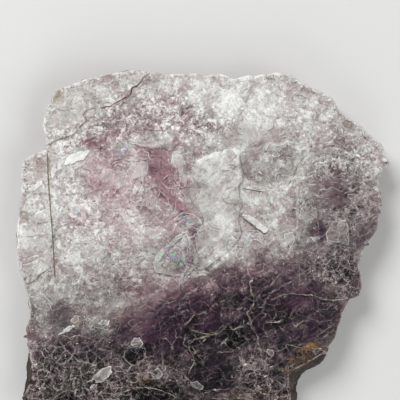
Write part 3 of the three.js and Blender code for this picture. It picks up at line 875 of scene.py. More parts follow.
@dataclass
class MicaBook:
    """The crystal's body: front face, laminated side and back, in one closed surface.

    across is how many quads span the face, and leaves how many pages its side shows. In mm,
    ragged is how rough the edge is, page how far pages stand in and out, worn_reach how far in
    the face is worn, foot_inset how far in the back's edge lies, and pitch the step round it.
    """

    across: int = 240
    leaves: int = 17
    back_rings: int = 4
    ragged: float = 0.5
    page: float = 0.75
    worn_reach: float = 0.9
    foot_inset: float = 1.2
    pitch: float = 0.43
    name: str = "mica_book"
    face: Face = Face()

    def ring(self) -> tuple[Array, Array]:
        """The face's edge, resampled evenly and roughened, and how far the back stands out.

        Returns:
            Places of the edge anticlockwise from the lower left, and the back's offsets.
        """
        rows = np.array([(*c, 0.0, 0.0)[:4] for c in EDGE])[::-1]
        first = np.argmin(rows[:, 0] + rows[:, 1])
        rows = np.roll(rows, -first, axis=0)
        rows = np.vstack([rows, rows[:1]])
        place = way_along(rows[:, :2])
        count = 4 * self.across
        at = np.arange(count) * place[-1] / count
        even = np.stack([np.interp(at, place, rows[:, k]) for k in range(4)], axis=1)
        for _ in range(2):
            even = (np.roll(even, 1, 0) + 2.0 * even + np.roll(even, -1, 0)) / 4.0
        out = self.outward(even[:, :2])
        x, y = even[:, 0], even[:, 1]
        rough = self.ragged * noise(x, y, 2.2, 61, 4) + 0.25 * noise(x, y, 6.0, 63, 2)
        return even[:, :2] + out * (rough - 0.12)[:, None], even[:, 2:]

    @staticmethod
    def outward(ring: Array) -> Array:
        """Unit vectors square to an anticlockwise ring, pointing out of it.

        Args:
            ring: Places in order, one row each.

        Returns:
            A vector for each place.
        """
        run = np.roll(ring, -2, 0) - np.roll(ring, 2, 0)
        out = np.stack([run[:, 1], -run[:, 0]], axis=1)
        return out / np.linalg.norm(out, axis=1, keepdims=True)

    def front(self, ring: Array) -> tuple[Array, Array, Array]:
        """The front face's grid: a square grid blown out to the ring.

        A point of the square at r, the larger of |a| and |b|, lies at r times the ring's place
        in its direction. Inside, the ring is smoothed, so that its notches fade.

        Args:
            ring: The edge's places.

        Returns:
            Vertices, quads, and the vertex numbers of the edge in the ring's order.
        """
        n = self.across
        i, j = np.meshgrid(np.arange(n + 1), np.arange(n + 1))
        a, b = (2.0 * i / n - 1.0).ravel(), (2.0 * j / n - 1.0).ravel()
        r = np.maximum(np.abs(a), np.abs(b))
        u, v = (np.divide(c, r, out=np.zeros_like(c), where=r > 0) for c in (a, b))
        low, right, top = v <= -1.0 + 1e-9, u >= 1.0 - 1e-9, v >= 1.0 - 1e-9
        turn = np.where(low, (u + 1) / 2, np.where(right, 1 + (v + 1) / 2, np.where(
            top, 2 + (1 - u) / 2, 3 + (1 - v) / 2)))
        at = np.mod(turn, 4.0) * n
        inner = ring.copy()
        for _ in range(60):
            inner = (np.roll(inner, 1, 0) + 2.0 * inner + np.roll(inner, -1, 0)) / 4.0
        k = np.floor(at).astype(int)
        t = (at - k)[:, None]
        rough, even = (c[k % (4 * n)] * (1 - t) + c[(k + 1) % (4 * n)] * t for c in (ring, inner))
        blend = smooth(0.86, 1.0, r)[:, None]
        flat = r[:, None] * (rough * blend + even * (1 - blend))
        number = j * (n + 1) + i
        quads = np.stack([
            number[:-1, :-1], number[:-1, 1:], number[1:, 1:], number[1:, :-1],
        ], axis=-1).reshape(-1, 4)
        edge = np.concatenate([number[0, :-1], number[:-1, -1], number[-1, :0:-1], number[:0:-1, 0]])
        return flat, quads, edge

    def depth(self, x: Array, y: Array) -> Array:
        """How deep a place is inside the face's edge."""
        return closed_depth(x, y, self.ring()[0][::6])

    def build(self) -> bpy.types.Object:
        """Makes the body.

        Returns:
            The piece.
        """
        ring, offset = self.ring()
        flat, quads, edge = self.front(ring)
        x, y = flat[:, 0], flat[:, 1]
        depth = np.maximum(closed_depth(x, y, ring[::2]), 0.0)
        worn = np.exp(-depth / self.worn_reach) * (0.45 + 0.35 * noise(x, y, 3.0, 71, 2))
        top = FACE + self.face.relief(x, y) - worn
        values = self.face.tones(x, y)
        # rim and edge set the pale line along the outline: partly its pale broken edge, partly a painted
        # highlight.
        values["rim"] = depth
        values["edge"] = 0.75 + 0.6 * noise(x, y, 3.0, 73, 3)
        front = np.column_stack([x, y, top])

        out = self.outward(ring)
        count, place = len(ring), np.arange(len(ring)) * self.pitch
        levels, rings = 2 * self.leaves, []
        edge_top = top[edge]
        for level in range(1, levels):
            leaf = (level + 1) // 2
            share = leaf / self.leaves
            height = 1.0 - share + 0.012 * (1 if level % 2 else -1)
            height = height + 0.012 * noise(place, np.full(count, 9.1 * leaf), 14.0, 81)
            page = noise(place, np.full(count, 7.3 * leaf), 7.0, 83, 3)
            fine = noise(place, np.full(count, 5.7 * leaf), 1.6, 85, 2)
            inset = self.page * page + 0.16 * fine - 0.25 - 0.5 * share**3
            base = ring + offset * smooth(0.0, 0.9, np.array(share))
            rings.append(np.column_stack([
                base + out * inset[:, None], edge_top * np.clip(height, 0.0, 1.0),
            ]))
        foot = ring + offset - out * self.foot_inset
        rings.append(np.column_stack([foot, np.zeros(count)]))
        for k in range(1, self.back_rings):
            rings.append(np.column_stack([foot * (1 - k / self.back_rings), np.zeros(count)]))
        side = np.concatenate(rings)
        centre = np.zeros((1, 3))
        places = np.concatenate([front, side, centre])

        start = len(front)
        rows = [edge] + [start + k * count + np.arange(count) for k in range(len(rings))]
        bands = [
            np.stack([up, down, np.roll(down, -1), np.roll(up, -1)], axis=1)
            for up, down in zip(rows[:-1], rows[1:])
        ]
        wall, back = np.concatenate(bands[:levels]), np.concatenate(bands[levels:])
        hub = np.stack([rows[-1], np.full(count, len(places) - 1), np.roll(rows[-1], -1)], 1)
        extra = {key: np.concatenate([v, np.zeros(len(side) + 1)]) for key, v in values.items()}
        body = put_mesh(
            self.name,
            places,
            [(quads, 0, True), (wall, 1, False), (back, 2, False), (hub, 2, False)],
            extra,
        )
        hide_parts(NODE)
        return body


@dataclass
class LooseLeaves:
    """Leaves lying on the face: closed plates with a thin edge, draped over its relief.

    A leaf is thickness mm thick and sunk mm into the face. shares are its rings, from its
    outline towards its middle, streaks is how much its tone is streaked, and rim_scale how
    quickly its pale rim, partly a painted highlight, gives way.
    """

    name: str
    thickness: float = 0.09
    sunk: float = 0.04
    rim_scale: float = 2.6
    streaks: float = 0.05
    shares: tuple[float, ...] = (1.0, 0.5)
    face: Face = Face()

    def build(self, outlines: Array, extra: dict[str, Array], tips: Array) -> bpy.types.Object:
        """Makes the leaves in one mesh.

        Each leaf's top is its outline drawn in towards its middle by each share in turn, then
        a point. A vertex lies the leaf's lift over the face, plus its slope times the way from
        the middle. The underside is a fan, and the edge joins the two.

        Args:
            outlines: Places, by leaf, corner and axis.
            extra: By name, what each leaf adds to a value of the face; lift is in mm.
            tips: Each leaf's slope across and up.

        Returns:
            The piece.
        """
        count, sides = outlines.shape[:2]
        middle = outlines.mean(axis=1, keepdims=True)
        rings = [middle + (outlines - middle) * share for share in self.shares]
        flat = np.concatenate([*rings, middle], axis=1)
        x, y = flat[..., 0].ravel(), flat[..., 1].ravel()
        lean = ((flat - middle) * tips[:, None, :]).sum(axis=2)
        lift = extra["lift"][:, None] + lean - self.sunk
        top = FACE + self.face.relief(x, y).reshape(lift.shape) + lift
        under = top[:, :sides] - self.thickness
        low_middle = top[:, -1:] - self.thickness
        z = np.concatenate([top, under, low_middle], axis=1)
        flat = np.concatenate([flat, rings[0], middle], axis=1)
        places = np.concatenate([flat, z[..., None]], axis=2)

        size = places.shape[1]
        ring = np.arange(sides)
        after = np.roll(ring, -1)
        depth = len(self.shares)
        hub, base = depth * sides, depth * sides + 1
        tops = np.array([
            np.stack([ring + k * sides, after + k * sides, after + (k + 1) * sides,
                      ring + (k + 1) * sides], axis=1)
            for k in range(depth - 1)
        ], dtype=int).reshape(-1, 4)
        walls = np.stack([ring, ring + base, after + base, after], axis=1)
        inner = (depth - 1) * sides
        fans = np.concatenate([
            np.stack([ring + inner, after + inner, np.full(sides, hub)], axis=1),
            np.stack([after + base, ring + base, np.full(sides, base + sides)], axis=1),
        ])
        first = (np.arange(count) * size)[:, None, None]
        tops, walls = ((part + first).reshape(-1, 4) for part in (tops, walls))
        fans = (fans + first).reshape(-1, 3)

        x, y = places[..., 0].ravel(), places[..., 1].ravel()
        values = self.face.tones(x, y)
        for key in ("tone", "lilac", "busy", "window", "edge"):
            added = np.repeat(extra.get(key, np.zeros(count)), size)
            values[key] = np.clip(values[key] + added, 0.0, 1.0)
        values["tone"] = np.clip(values["tone"] + self.streaks * noise(
            0.5 * x - 0.9 * y, 0.35 * x + 0.2 * y, 0.8, 7, 2), 0.0, 1.0)
        far = np.linalg.norm(outlines - middle, axis=2).mean(axis=1)
        within = np.concatenate([
            *(np.full(sides, 1.0 - share) for share in self.shares), [1.0],
            np.zeros(sides), [1.0],
        ])
        values["rim"] = (far[:, None] * within * self.rim_scale).ravel()
        bands = [(part[0], 0, part[1]) for part in ((tops, True), (walls, False), (fans, False))]
        return put_mesh(self.name, places.reshape(-1, 3), [b for b in bands if len(b[0])], values)


def way_along(run: Array) -> Array:
    """How far along a path each of its places lies, from 0."""
    return np.concatenate([[0.0], np.cumsum(np.linalg.norm(np.diff(run, axis=0), axis=1))])


def ragged_outline(points: Points, sides: int, rough: float, seed: int) -> Array:
    """An outline resampled to even steps, anticlockwise, and roughened by noise.

    Args:
        points: The outline's corners.
        sides: How many steps it is given.
        rough: How far the noise moves it.
        seed: Which noise.

    Returns:
        Its places, one row each.
    """
    ring = np.array(points)
    turn = (ring[:, 0] * np.roll(ring[:, 1], -1) - ring[:, 1] * np.roll(ring[:, 0], -1)).sum()
    ring = ring if turn > 0 else ring[::-1]
    ring = np.vstack([ring, ring[:1]])
    place = way_along(ring)
    at = np.arange(sides) * place[-1] / sides
    x, y = (np.interp(at, place, ring[:, k]) for k in (0, 1))
    wave = [rough * noise(x, y, 0.9, seed + k, 3) for k in (0, 5)]
    return np.column_stack([x + wave[0], y + wave[1]])


def placed_leaves(
    name: str, leaves: Sequence[Leaf], face: Face, corners: int, shares: Sequence[float]
) -> bpy.types.Object:
    """Makes leaves that have places of their own.

    Args:
        name: The piece's name.
        leaves: The leaves.
        face: The face that they lie on.
        corners: How many corners each outline is given.
        shares: The rings of each, from its outline towards its middle.

    Returns:
        The piece.
    """
    outlines = np.stack([
        ragged_outline(leaf.points, corners, min(0.45, 0.05 * np.ptp(leaf.points)), 300 + i)
        for i, leaf in enumerate(leaves)
    ])
    extra = {key: np.array([getattr(leaf, key) for leaf in leaves])
             for key in ("tone", "lilac", "busy", "edge", "window", "lift")}
    maker = LooseLeaves(name, shares=tuple(shares), streaks=0.08, face=face)
    return maker.build(outlines, extra, np.array([leaf.tip for leaf in leaves]))


@dataclass(frozen=True)
class Scatter:
    """A scatter of flakes: how many, how large, and how they differ from the face.

    small and large are mm. tone, edge and lift each have a least and a most. pale, busy and
    deepest say where flakes may lie, and stretch how narrow they may be.
    """

    name: str
    count: int
    sides: int
    small: float
    large: float
    tone: tuple[float, float]
    edge: tuple[float, float]
    lift: tuple[float, float]
    slope: float
    seed: int
    pale: tuple[float, float] = (-1.0, 2.0)
    busy: tuple[float, float] = (0.0, 1.0)
    stretch: tuple[float, float] = (0.4, 1.0)
    deepest: float = 99.0
    rings: tuple[float, ...] = (1.0,)

    def build(self, book: MicaBook) -> bpy.types.Object:
        """Makes the flakes.

        Each has a random middle, size, stretch and turn, and corners at uneven angles and
        distances. A flake stays where its place is pale, busy and deep enough inside the edge.

        Args:
            book: The body that they lie on.

        Returns:
            The piece.
        """
        rng = np.random.default_rng(self.seed)
        # Few places lie on the narrow brink, so more are tried for it.
        tries = self.count * (8 if self.deepest > 9.0 else 60)
        x, y = (rng.uniform(-reach, reach, tries) for reach in HALF)
        size = self.small * (self.large / self.small) ** (rng.random(tries) ** 1.8)
        draws = rng.random((tries, 8))
        depth = book.depth(x, y)
        inside = np.flatnonzero((depth > 0.7 * size) & (depth < self.deepest))
        values = book.face.tones(x[inside], y[inside])
        keep = draws[inside, 0] < smooth(*self.busy, values["busy"])
        keep &= (values["pale"] > self.pale[0]) & (values["pale"] < self.pale[1])
        keep = inside[keep][:self.count]
        x, y, size, draws = x[keep], y[keep], size[keep], draws[keep]
        count = len(keep)

        angle = np.arange(self.sides) + 0.35 * rng.uniform(-1, 1, (count, self.sides))
        angle = angle * 2 * np.pi / self.sides
        lobes = noise(1.1 * np.cos(angle) + x[:, None], 1.1 * np.sin(angle) + y[:, None], 1.0, 29, 3)
        radius = size[:, None] * np.clip(0.85 + 1.0 * lobes, 0.25, 1.5)
        low, high = self.stretch
        a = radius * np.cos(angle)
        b = radius * np.sin(angle) * (low + (high - low) * draws[:, 1:2])
        turn = np.pi * draws[:, 2:3]
        outlines = np.stack([
            x[:, None] + a * np.cos(turn) - b * np.sin(turn),
            y[:, None] + a * np.sin(turn) + b * np.cos(turn),
        ], axis=2)
        spread = {"tone": self.tone, "edge": self.edge, "lift": self.lift}
        extra = {
            key: span[0] + (span[1] - span[0]) * draws[:, 3 + k]
            for k, (key, span) in enumerate(spread.items())
        }
        extra["lilac"] = -2.0 * extra["tone"]
        heading = 2 * np.pi * draws[:, 6]
        slope = self.slope * draws[:, 7]
        tips = np.column_stack([slope * np.cos(heading), slope * np.sin(heading)])
        return LooseLeaves(self.name, shares=self.rings, face=book.face).build(outlines, extra, tips)


SCATTERS = (
    Scatter("flakes_silver", 2600, 9, 0.4, 2.4, (-0.06, 0.07), (-0.2, 0.35), (0.05, 0.16), 0.16,
            11, pale=(0.45, 2.0), busy=(-0.2, 0.9)),
    Scatter("flakes_dust", 4200, 7, 0.2, 0.8, (-0.18, 0.18), (-0.3, 0.4), (0.05, 0.14), 0.3,
            12, pale=(0.35, 2.0), busy=(-0.1, 0.9), stretch=(0.2, 0.8)),
    Scatter("flakes_dark", 620, 9, 0.7, 4.2, (-0.09, 0.03), (-0.2, 0.7), (0.06, 0.25), 0.16,
            13, pale=(-1.0, 0.55), busy=(0.1, 0.9), stretch=(0.3, 0.9)),
    # Small bright flakes on the dark face: pale crumbs, partly painted glints.
    Scatter("flakes_sparks", 900, 7, 0.18, 0.7, (0.0, 0.5), (0.2, 0.9), (0.05, 0.2), 0.4,
            14, pale=(-1.0, 0.5), busy=(0.3, 0.9), stretch=(0.15, 0.6)),
    Scatter("sheets_silver", 90, 30, 2.0, 5.5, (-0.07, 0.05), (0.0, 0.45), (0.1, 0.2), 0.02,
            16, pale=(0.5, 2.0), busy=(-0.4, 0.6), rings=(1.0, 0.88, 0.66, 0.44, 0.22)),
    Scatter("sheets_dark", 50, 30, 1.8, 4.6, (-0.05, 0.03), (-0.1, 0.3), (0.12, 0.3), 0.04,
            17, pale=(-1.0, 0.4), rings=(1.0, 0.85, 0.6, 0.3)),
    Scatter("flakes_brink", 520, 7, 0.22, 1.0, (-0.06, 0.2), (-0.1, 0.6), (0.05, 0.25), 0.4,
            15, busy=(-1.0, 0.2), stretch=(0.25, 0.8), deepest=1.3),
)


@dataclass
class TornEdges:
    """Thin torn sheet edges: narrow ridges along the veins, their branches, and loose threads."""

    book: MicaBook
    name: str = "torn_edges"
    pitch: float = 0.3
    clear: float = 0.3

    def vein(self, trace: Trace, seed: int, wave: float) -> Array:
        """A vein's run, resampled evenly and made ragged by noise.

        Args:
            trace: The vein.
            seed: Which noise.
            wave: How far that noise moves it.

        Returns:
            One path, with points along it.
        """
        run = np.array(trace.points)
        place = way_along(run)
        at = np.linspace(0.0, place[-1], max(int(place[-1] / self.pitch), 6))
        x, y = (np.interp(at, place, run[:, k]) for k in (0, 1))
        off = [0.3 * noise(x, y, 2.2, 51 + k, 3) + wave * noise(x, y, 1.3, seed + k, 2) for k in (0, 1)]
        return np.column_stack([x - off[0], y - off[1]])[None]

    @staticmethod
    def wander(start: Array, heading: Array, length: Array, count: int, seed: int) -> Array:
        """Paths that set out from places and bend by chance as they go.

        Args:
            start: Where they start, one row each.
            heading: Their first headings, in radians.
            length: Their lengths.
            count: How many points each has.
            seed: Which random numbers.

        Returns:
            The paths, by path, point and axis.
        """
        rng = np.random.default_rng(seed)
        bend = rng.normal(0.0, 0.9, (len(start), 1)) * np.linspace(0.0, 1.0, count)
        turn = heading[:, None] + bend + 0.3 * rng.normal(size=(len(start), count)).cumsum(axis=1)
        step = np.stack([np.cos(turn), np.sin(turn)], axis=2) * (length / count)[:, None, None]
        return start[:, None] + step.cumsum(axis=1) - step

    def branches(self, paths: Array, share: float, reach: float, seed: int) -> Array:
        """Paths that leave others: from chance places on them, at 20 to 80 degrees.

        Args:
            paths: The paths they leave, by path, point and axis.
            share: How many branches there are to a point.
            reach: The longest branch.
            seed: Which random numbers.

        Returns:
            The branches' paths.
        """
        rng = np.random.default_rng(seed)
        run = np.gradient(paths, axis=1).reshape(-1, 2)
        points = paths.reshape(-1, 2)
        pick = rng.random(len(points)) < share
        count = int(pick.sum())
        side = np.where(rng.random(count) < 0.5, -1.0, 1.0)
        heading = np.arctan2(run[pick, 1], run[pick, 0]) + side * rng.uniform(0.35, 1.4, count)
        length = reach * (0.2 + 0.8 * rng.random(count) ** 2)
        return self.wander(points[pick], heading, length, 9, seed)

    def loose(self, count: int, pale: tuple[float, float], reach: float, seed: int) -> Array:
        """Paths that lie by themselves, more where the face is busy.

        Args:
            count: How many.
            pale: The least and the most silvery face that they lie on.
            reach: The longest.
            seed: Which random numbers.

        Returns:
            The paths.
        """
        rng = np.random.default_rng(seed)
        spot = rng.uniform(np.negative(HALF), HALF, (count * 8, 2))
        values = self.book.face.tones(*spot.T)
        keep = (values["pale"] > pale[0]) & (values["pale"] < pale[1])
        keep &= rng.random(len(spot)) < smooth(0.0, 0.9, values["busy"])
        keep &= self.book.depth(*spot.T) > reach
        spot = spot[keep][:count]
        length = reach * (0.15 + 0.85 * rng.random(len(spot)) ** 3)
        heading = rng.uniform(0.0, 2 * np.pi, len(spot))
        return self.wander(spot, heading, length, 8, seed + 1)

    def strips(
        self, paths: Array, half: float, lift: float, bright: float
    ) -> tuple[Array, Array, Array, Array]:
        """Turns paths into closed ridges, three-cornered across, that taper at both ends.

        Args:
            paths: The paths, by path, point and axis.
            half: Half the greatest width.
            lift: The greatest height over the face.
            bright: How pale they are, from 0 to 1.

        Returns:
            Vertices, quads, triangles, and the paleness of each vertex, partly a painted highlight.
        """
        many, size = paths.shape[:2]
        x, y = paths[..., 0], paths[..., 1]
        t = np.linspace(0.0, 1.0, size)
        body = (0.12 + np.sqrt(np.sin(np.pi * t))) * np.clip(
            0.95 + 1.5 * noise(x, y, 1.5, 17, 3), 0.12, 2.4)
        run = np.gradient(paths, axis=1)
        run = run / (np.linalg.norm(run, axis=2, keepdims=True) + 1e-9)
        out = np.stack([-run[..., 1], run[..., 0]], axis=2) * (half * body)[..., None]
        flat = np.stack([paths + out, paths, paths - out], axis=2)
        z = FACE + self.book.face.relief(flat[..., 0].ravel(), flat[..., 1].ravel())
        z = z.reshape(many, size, 3)
        z[..., 1] += lift * body
        z[..., (0, 2)] -= 0.1
        places = np.concatenate([flat, z[..., None]], axis=3).reshape(-1, 3)
        at = (np.arange(many)[:, None] * size + np.arange(size)) * 3
        here, after = at[:, :-1].ravel(), at[:, 1:].ravel()
        quads = np.concatenate([
            np.stack([here, here + 1, after + 1, after], axis=1),
            np.stack([here + 1, here + 2, after + 2, after + 1], axis=1),
            np.stack([here, after, after + 2, here + 2], axis=1),
        ])
        first, last = at[:, 0], at[:, -1]
        ends = np.concatenate([
            np.stack([first, first + 2, first + 1], axis=1),
            np.stack([last, last + 1, last + 2], axis=1),
        ])
        # Paler in stretches along each line: partly the torn edges' own paleness, partly a painted
        # highlight.
        pale_glint = bright * np.clip(0.75 + 1.2 * noise(x, y, 2.0, 19, 3), 0.1, 1.6)
        return places, quads, ends, np.repeat(pale_glint.ravel(), 3)

    def build(self) -> bpy.types.Object:
        """Makes the edges in one mesh.

        Returns:
            The piece.
        """
        parts = []
        for i, trace in enumerate(t for t in VEINS if t.lip):
            main, *strands = (self.vein(trace, 400 + 50 * k + i, 0.32 + 0.3 * k) for k in range(4))
            first = self.branches(main, 0.7 * trace.frayed, 3.4, 500 + i)
            second = self.branches(first, 0.12, 2.0, 600 + i)
            first, second = (
                paths[self.book.depth(paths[..., 0], paths[..., 1]).min(axis=1) > self.clear]
                for paths in (first, second)
            )
            pale_glint = 0.95 if trace.frayed > 0.1 else 1.35
            parts.append(self.strips(main, 0.065 + 0.02 * trace.lip, 0.2 * trace.lip, pale_glint))
            parts += [self.strips(strand, 0.045, 0.12, 0.7 * pale_glint) for strand in strands
                      if trace.frayed > 0.1]
            parts.append(self.strips(first, 0.045, 0.11, 0.75 * pale_glint))
            parts.append(self.strips(second, 0.04, 0.08, 0.65 * pale_glint))
        dark = self.loose(420, (-1.0, 0.5), 3.4, 701)
        parts.append(self.strips(dark, 0.042, 0.1, 0.85))
        silver = self.loose(1100, (0.5, 2.0), 3.0, 702)
        parts.append(self.strips(silver, 0.055, 0.12, 1.3))
        start = np.cumsum([0, *(len(part[0]) for part in parts)])
        places, pale_glint = (np.concatenate([part[k] for part in parts]) for k in (0, 3))
        quads, ends = (
            np.concatenate([part[k] + first for part, first in zip(parts, start)])
            for k in (1, 2)
        )
        return put_mesh(self.name, places, [(quads, 0, False), (ends, 0, False)], {"pale_glint": pale_glint})


# --- Nodes

class Graph:
    """A short way to write a node tree."""

    def __init__(self, tree: bpy.types.NodeTree) -> None:
        """Wraps a tree.

        Args:
            tree: The tree that nodes are added to.
        """
        self.tree = tree

    def add(self, kind: str, inputs: dict | None = None, **settings: object) -> bpy.types.Node:
        """Adds a node.

        Args:
            kind: The node's type.
            inputs: What each input is set to or linked from, by name or number.
            settings: The node's own properties.

        Returns:
            The node.
        """
        node = self.tree.nodes.new(kind)
        for key, value in settings.items():
            setattr(node, key, value)
        self.feed(node.inputs, inputs or {})
        return node

    def feed(self, sockets: bpy.types.NodeInputs, values: dict) -> None:
        """Links sockets from others, or sets their values.

        Args:
            sockets: A node's inputs.
            values: What each is set to or linked from, by name or number.
        """
        for key, value in values.items():
            if isinstance(value, bpy.types.NodeSocket):
                self.tree.links.new(value, sockets[key])
            else:
                sockets[key].default_value = value

    def group(self, tree: bpy.types.NodeTree, inputs: dict) -> bpy.types.NodeOutputs:
        """The outputs of a group node."""
        return self.add("ShaderNodeGroup", inputs, node_tree=tree).outputs

    def math(self, kind: str, *values: object, clamp: bool = False) -> bpy.types.NodeSocket:
        """The result of a Math node on up to three values."""
        inputs = dict(enumerate(values))
        return self.add("ShaderNodeMath", inputs, operation=kind, use_clamp=clamp).outputs[0]

    # Short names for the kinds of Math node in use. size is a value without its sign, and mad is
    # the first times the second, plus the third.
    add_to = partialmethod(math, "ADD")
    sub = partialmethod(math, "SUBTRACT")
    mul = partialmethod(math, "MULTIPLY")
    div = partialmethod(math, "DIVIDE")
    mad = partialmethod(math, "MULTIPLY_ADD")
    size = partialmethod(math, "ABSOLUTE")
    fract = partialmethod(math, "FRACT")
    larger = partialmethod(math, "MAXIMUM")

    def clamped(self, value: object) -> bpy.types.NodeSocket:
        """A value kept from 0 to 1."""
        return self.add_to(value, 0.0, clamp=True)

    def centred(self, value: object) -> bpy.types.NodeSocket:
        """A value less a half."""
        return self.sub(value, 0.5)

    def more(self, share: object, value: object, amount: object) -> bpy.types.NodeSocket:
        """A value plus an amount times a share."""
        return self.mad(share, amount, value)

    def vector(self, kind: str, *values: object, **named: object) -> bpy.types.NodeSocket:
        """The vector result of a Vector Math node."""
        inputs = dict(enumerate(values)) | named
        return self.add("ShaderNodeVectorMath", inputs, operation=kind).outputs[0]

    def blend(self, share: object, a: object, b: object, kind: str = "MIX") -> bpy.types.NodeSocket:
        """Colour a turned into b by share."""
        inputs = {0: share, 6: a, 7: b}
        return self.add("ShaderNodeMix", inputs, data_type="RGBA", blend_type=kind).outputs[2]

    def step(self, value: object, low: float, high: float) -> bpy.types.NodeSocket:
        """A smooth step of a value, from 0 at low to 1 at high."""
        inputs = {"Value": value, "From Min": low, "From Max": high}
        return self.add("ShaderNodeMapRange", inputs, interpolation_type="SMOOTHSTEP").outputs[0]

    def ramp(self, value: object, stops: Sequence[tuple]) -> bpy.types.NodeSocket:
        """A colour ramp over a value.

        Args:
            value: The value.
            stops: Place from 0 to 1, red, green and blue of each colour.

        Returns:
            The colour.
        """
        node = self.add("ShaderNodeValToRGB", {0: value})
        bar = node.color_ramp.elements
        while len(bar) < len(stops):
            bar.new(0.5)
        for element, (place, *colour) in zip(bar, stops):
            element.position = place
            element.color = paint(*colour)
        return node.outputs[0]

    def fractal(
        self, where: object, scale: float, detail: float, rough: float, bend: float = 0.0,
        output: str = "Fac",
    ) -> bpy.types.NodeSocket:
        """A noise texture over a place, distorted by bend: its value, or its Color output."""
        return self.add("ShaderNodeTexNoise", {
            "Vector": where, "Scale": scale, "Detail": detail, "Roughness": rough, "Distortion": bend,
        }).outputs[output]

    def shrunk(self, where: object, size: object) -> bpy.types.NodeSocket:
        """A place over a size."""
        sizes = self.add("ShaderNodeCombineXYZ", {0: size, 1: size, 2: size}).outputs[0]
        return self.vector("DIVIDE", where, sizes)

    def bent(self, where: object, scale: float, by: float) -> bpy.types.NodeSocket:
        """A place moved by a noise of its own along each axis, about the noise's middle."""
        shift = self.vector("SUBTRACT", self.fractal(where, scale, 4.0, 0.6, output="Color"), (0.5,) * 3)
        return self.vector("ADD", where, self.vector("SCALE", shift, Scale=by))

    def bump(self, height: object, strength: float, distance: float) -> bpy.types.NodeSocket:
        """A normal bumped by a height: a height of 1 stands distance metres up."""
        inputs = {"Height": height, "Strength": strength, "Distance": distance}
        return self.add("ShaderNodeBump", inputs).outputs[0]

    def attribute(self, name: str) -> bpy.types.NodeSocket:
        """A vertex attribute's value."""
        return self.add("ShaderNodeAttribute", attribute_name=name).outputs["Fac"]


def paint(red: int, green: int, blue: int) -> tuple[float, float, float, float]:
    """A linear colour from the three display values, 0 to 255."""
    shares = (c / 255.0 for c in (red, green, blue))
    return (*(c / 12.92 if c <= 0.04045 else ((c + 0.055) / 1.055) ** 2.4 for c in shares), 1.0)


class Socket(Enum):
    """What a group's input or output carries."""

    FLOAT = "NodeSocketFloat"
    COLOUR = "NodeSocketColor"
    VECTOR = "NodeSocketVector"


FLOAT, COLOUR, VECTOR = Socket


def new_group(
    name: str, inputs: Sequence[tuple[str, Socket]], outputs: Sequence[tuple[str, Socket]]
) -> tuple[Graph, bpy.types.NodeOutputs, bpy.types.NodeInputs]:
    """Starts a shader node group.

    Args:
        name: The group's name.
        inputs: Name and kind of each input.
        outputs: Name and kind of each output.

    Returns:
        The group's graph, what it is given, and the sockets of what it puts out.
    """
    tree = bpy.data.node_groups.new(name, "ShaderNodeTree")
    for in_out, sockets in (("INPUT", inputs), ("OUTPUT", outputs)):
        for label, kind in sockets:
            tree.interface.new_socket(name=label, in_out=in_out, socket_type=kind.value)
    graph = Graph(tree)
    return graph, graph.add("NodeGroupInput").outputs, graph.add("NodeGroupOutput").inputs


LEAST_SIZE = 0.05  # in mm: a group's size or cell is never less, so that nothing is over 0


def flake_grain() -> bpy.types.NodeTree:
    """The texture of tiny flakes over a stretched, warped place.

    Returns:
        The group. Grain is 0 to 1 about 0.5, Blot and Scale are crisp dark and bright spots,
        Thread and Cut are thin pale and dark strokes, Relief is a height.
    """
    graph, given, made = new_group(
        "Flake Grain",
        [("Vector", VECTOR), ("Size", FLOAT)],
        [("Grain", FLOAT), ("Blot", FLOAT), ("Scale", FLOAT), ("Thread", FLOAT), ("Cut", FLOAT),
         ("Relief", FLOAT)],
    )
    where = graph.shrunk(given["Vector"], graph.larger(given["Size"], LEAST_SIZE))
    bent = graph.bent(where, 0.3, 4.0)
    tile = graph.add("ShaderNodeTexVoronoi", {"Vector": bent, "Scale": 0.9})
    tone, other, _ = graph.add("ShaderNodeSeparateColor", {0: tile.outputs["Color"]}).outputs
    cloud = graph.fractal(bent, 0.8, 5.0, 0.72)
    slow = graph.fractal(where, 0.22, 4.0, 0.65)

    def stroke(offset: float, scale: float, width: float) -> bpy.types.NodeSocket:
        """Thin lines where a warped noise, moved by the offset, passes its middle value."""
        value = graph.fractal(graph.vector("ADD", bent, (offset, offset, 0.0)), scale, 2.0, 0.5)
        return graph.step(graph.size(graph.centred(value)), width, 0.0)

    gate = graph.step(slow, 0.46, 0.58)
    thread = graph.mul(stroke(0.0, 0.5, 0.024), gate)
    cut = graph.mul(stroke(37.0, 0.45, 0.022), graph.step(slow, 0.54, 0.44))
    # Each tile's own tone: the flakes' own tones, and partly painted light and shade of their tilts.
    mix = graph.mul(graph.centred(tone), 0.3)
    mix = graph.mad(graph.centred(cloud), 1.9, mix)
    spot = graph.mad(graph.centred(slow), -0.5, cloud)
    bright = graph.mad(graph.centred(slow), 0.7, other)
    relief = graph.mad(tone, 0.4, graph.mul(cloud, 0.8))
    relief = graph.mad(thread, 0.3, relief)
    graph.feed(made, {
        "Grain": graph.add_to(mix, 0.5, clamp=True),
        "Blot": graph.step(spot, 0.565, 0.63),
        "Scale": graph.mul(graph.step(bright, 0.8, 0.84), graph.step(cloud, 0.62, 0.45)),
        "Thread": thread,
        "Cut": cut,
        "Relief": graph.mad(cut, -0.4, relief),
    })
    return graph.tree


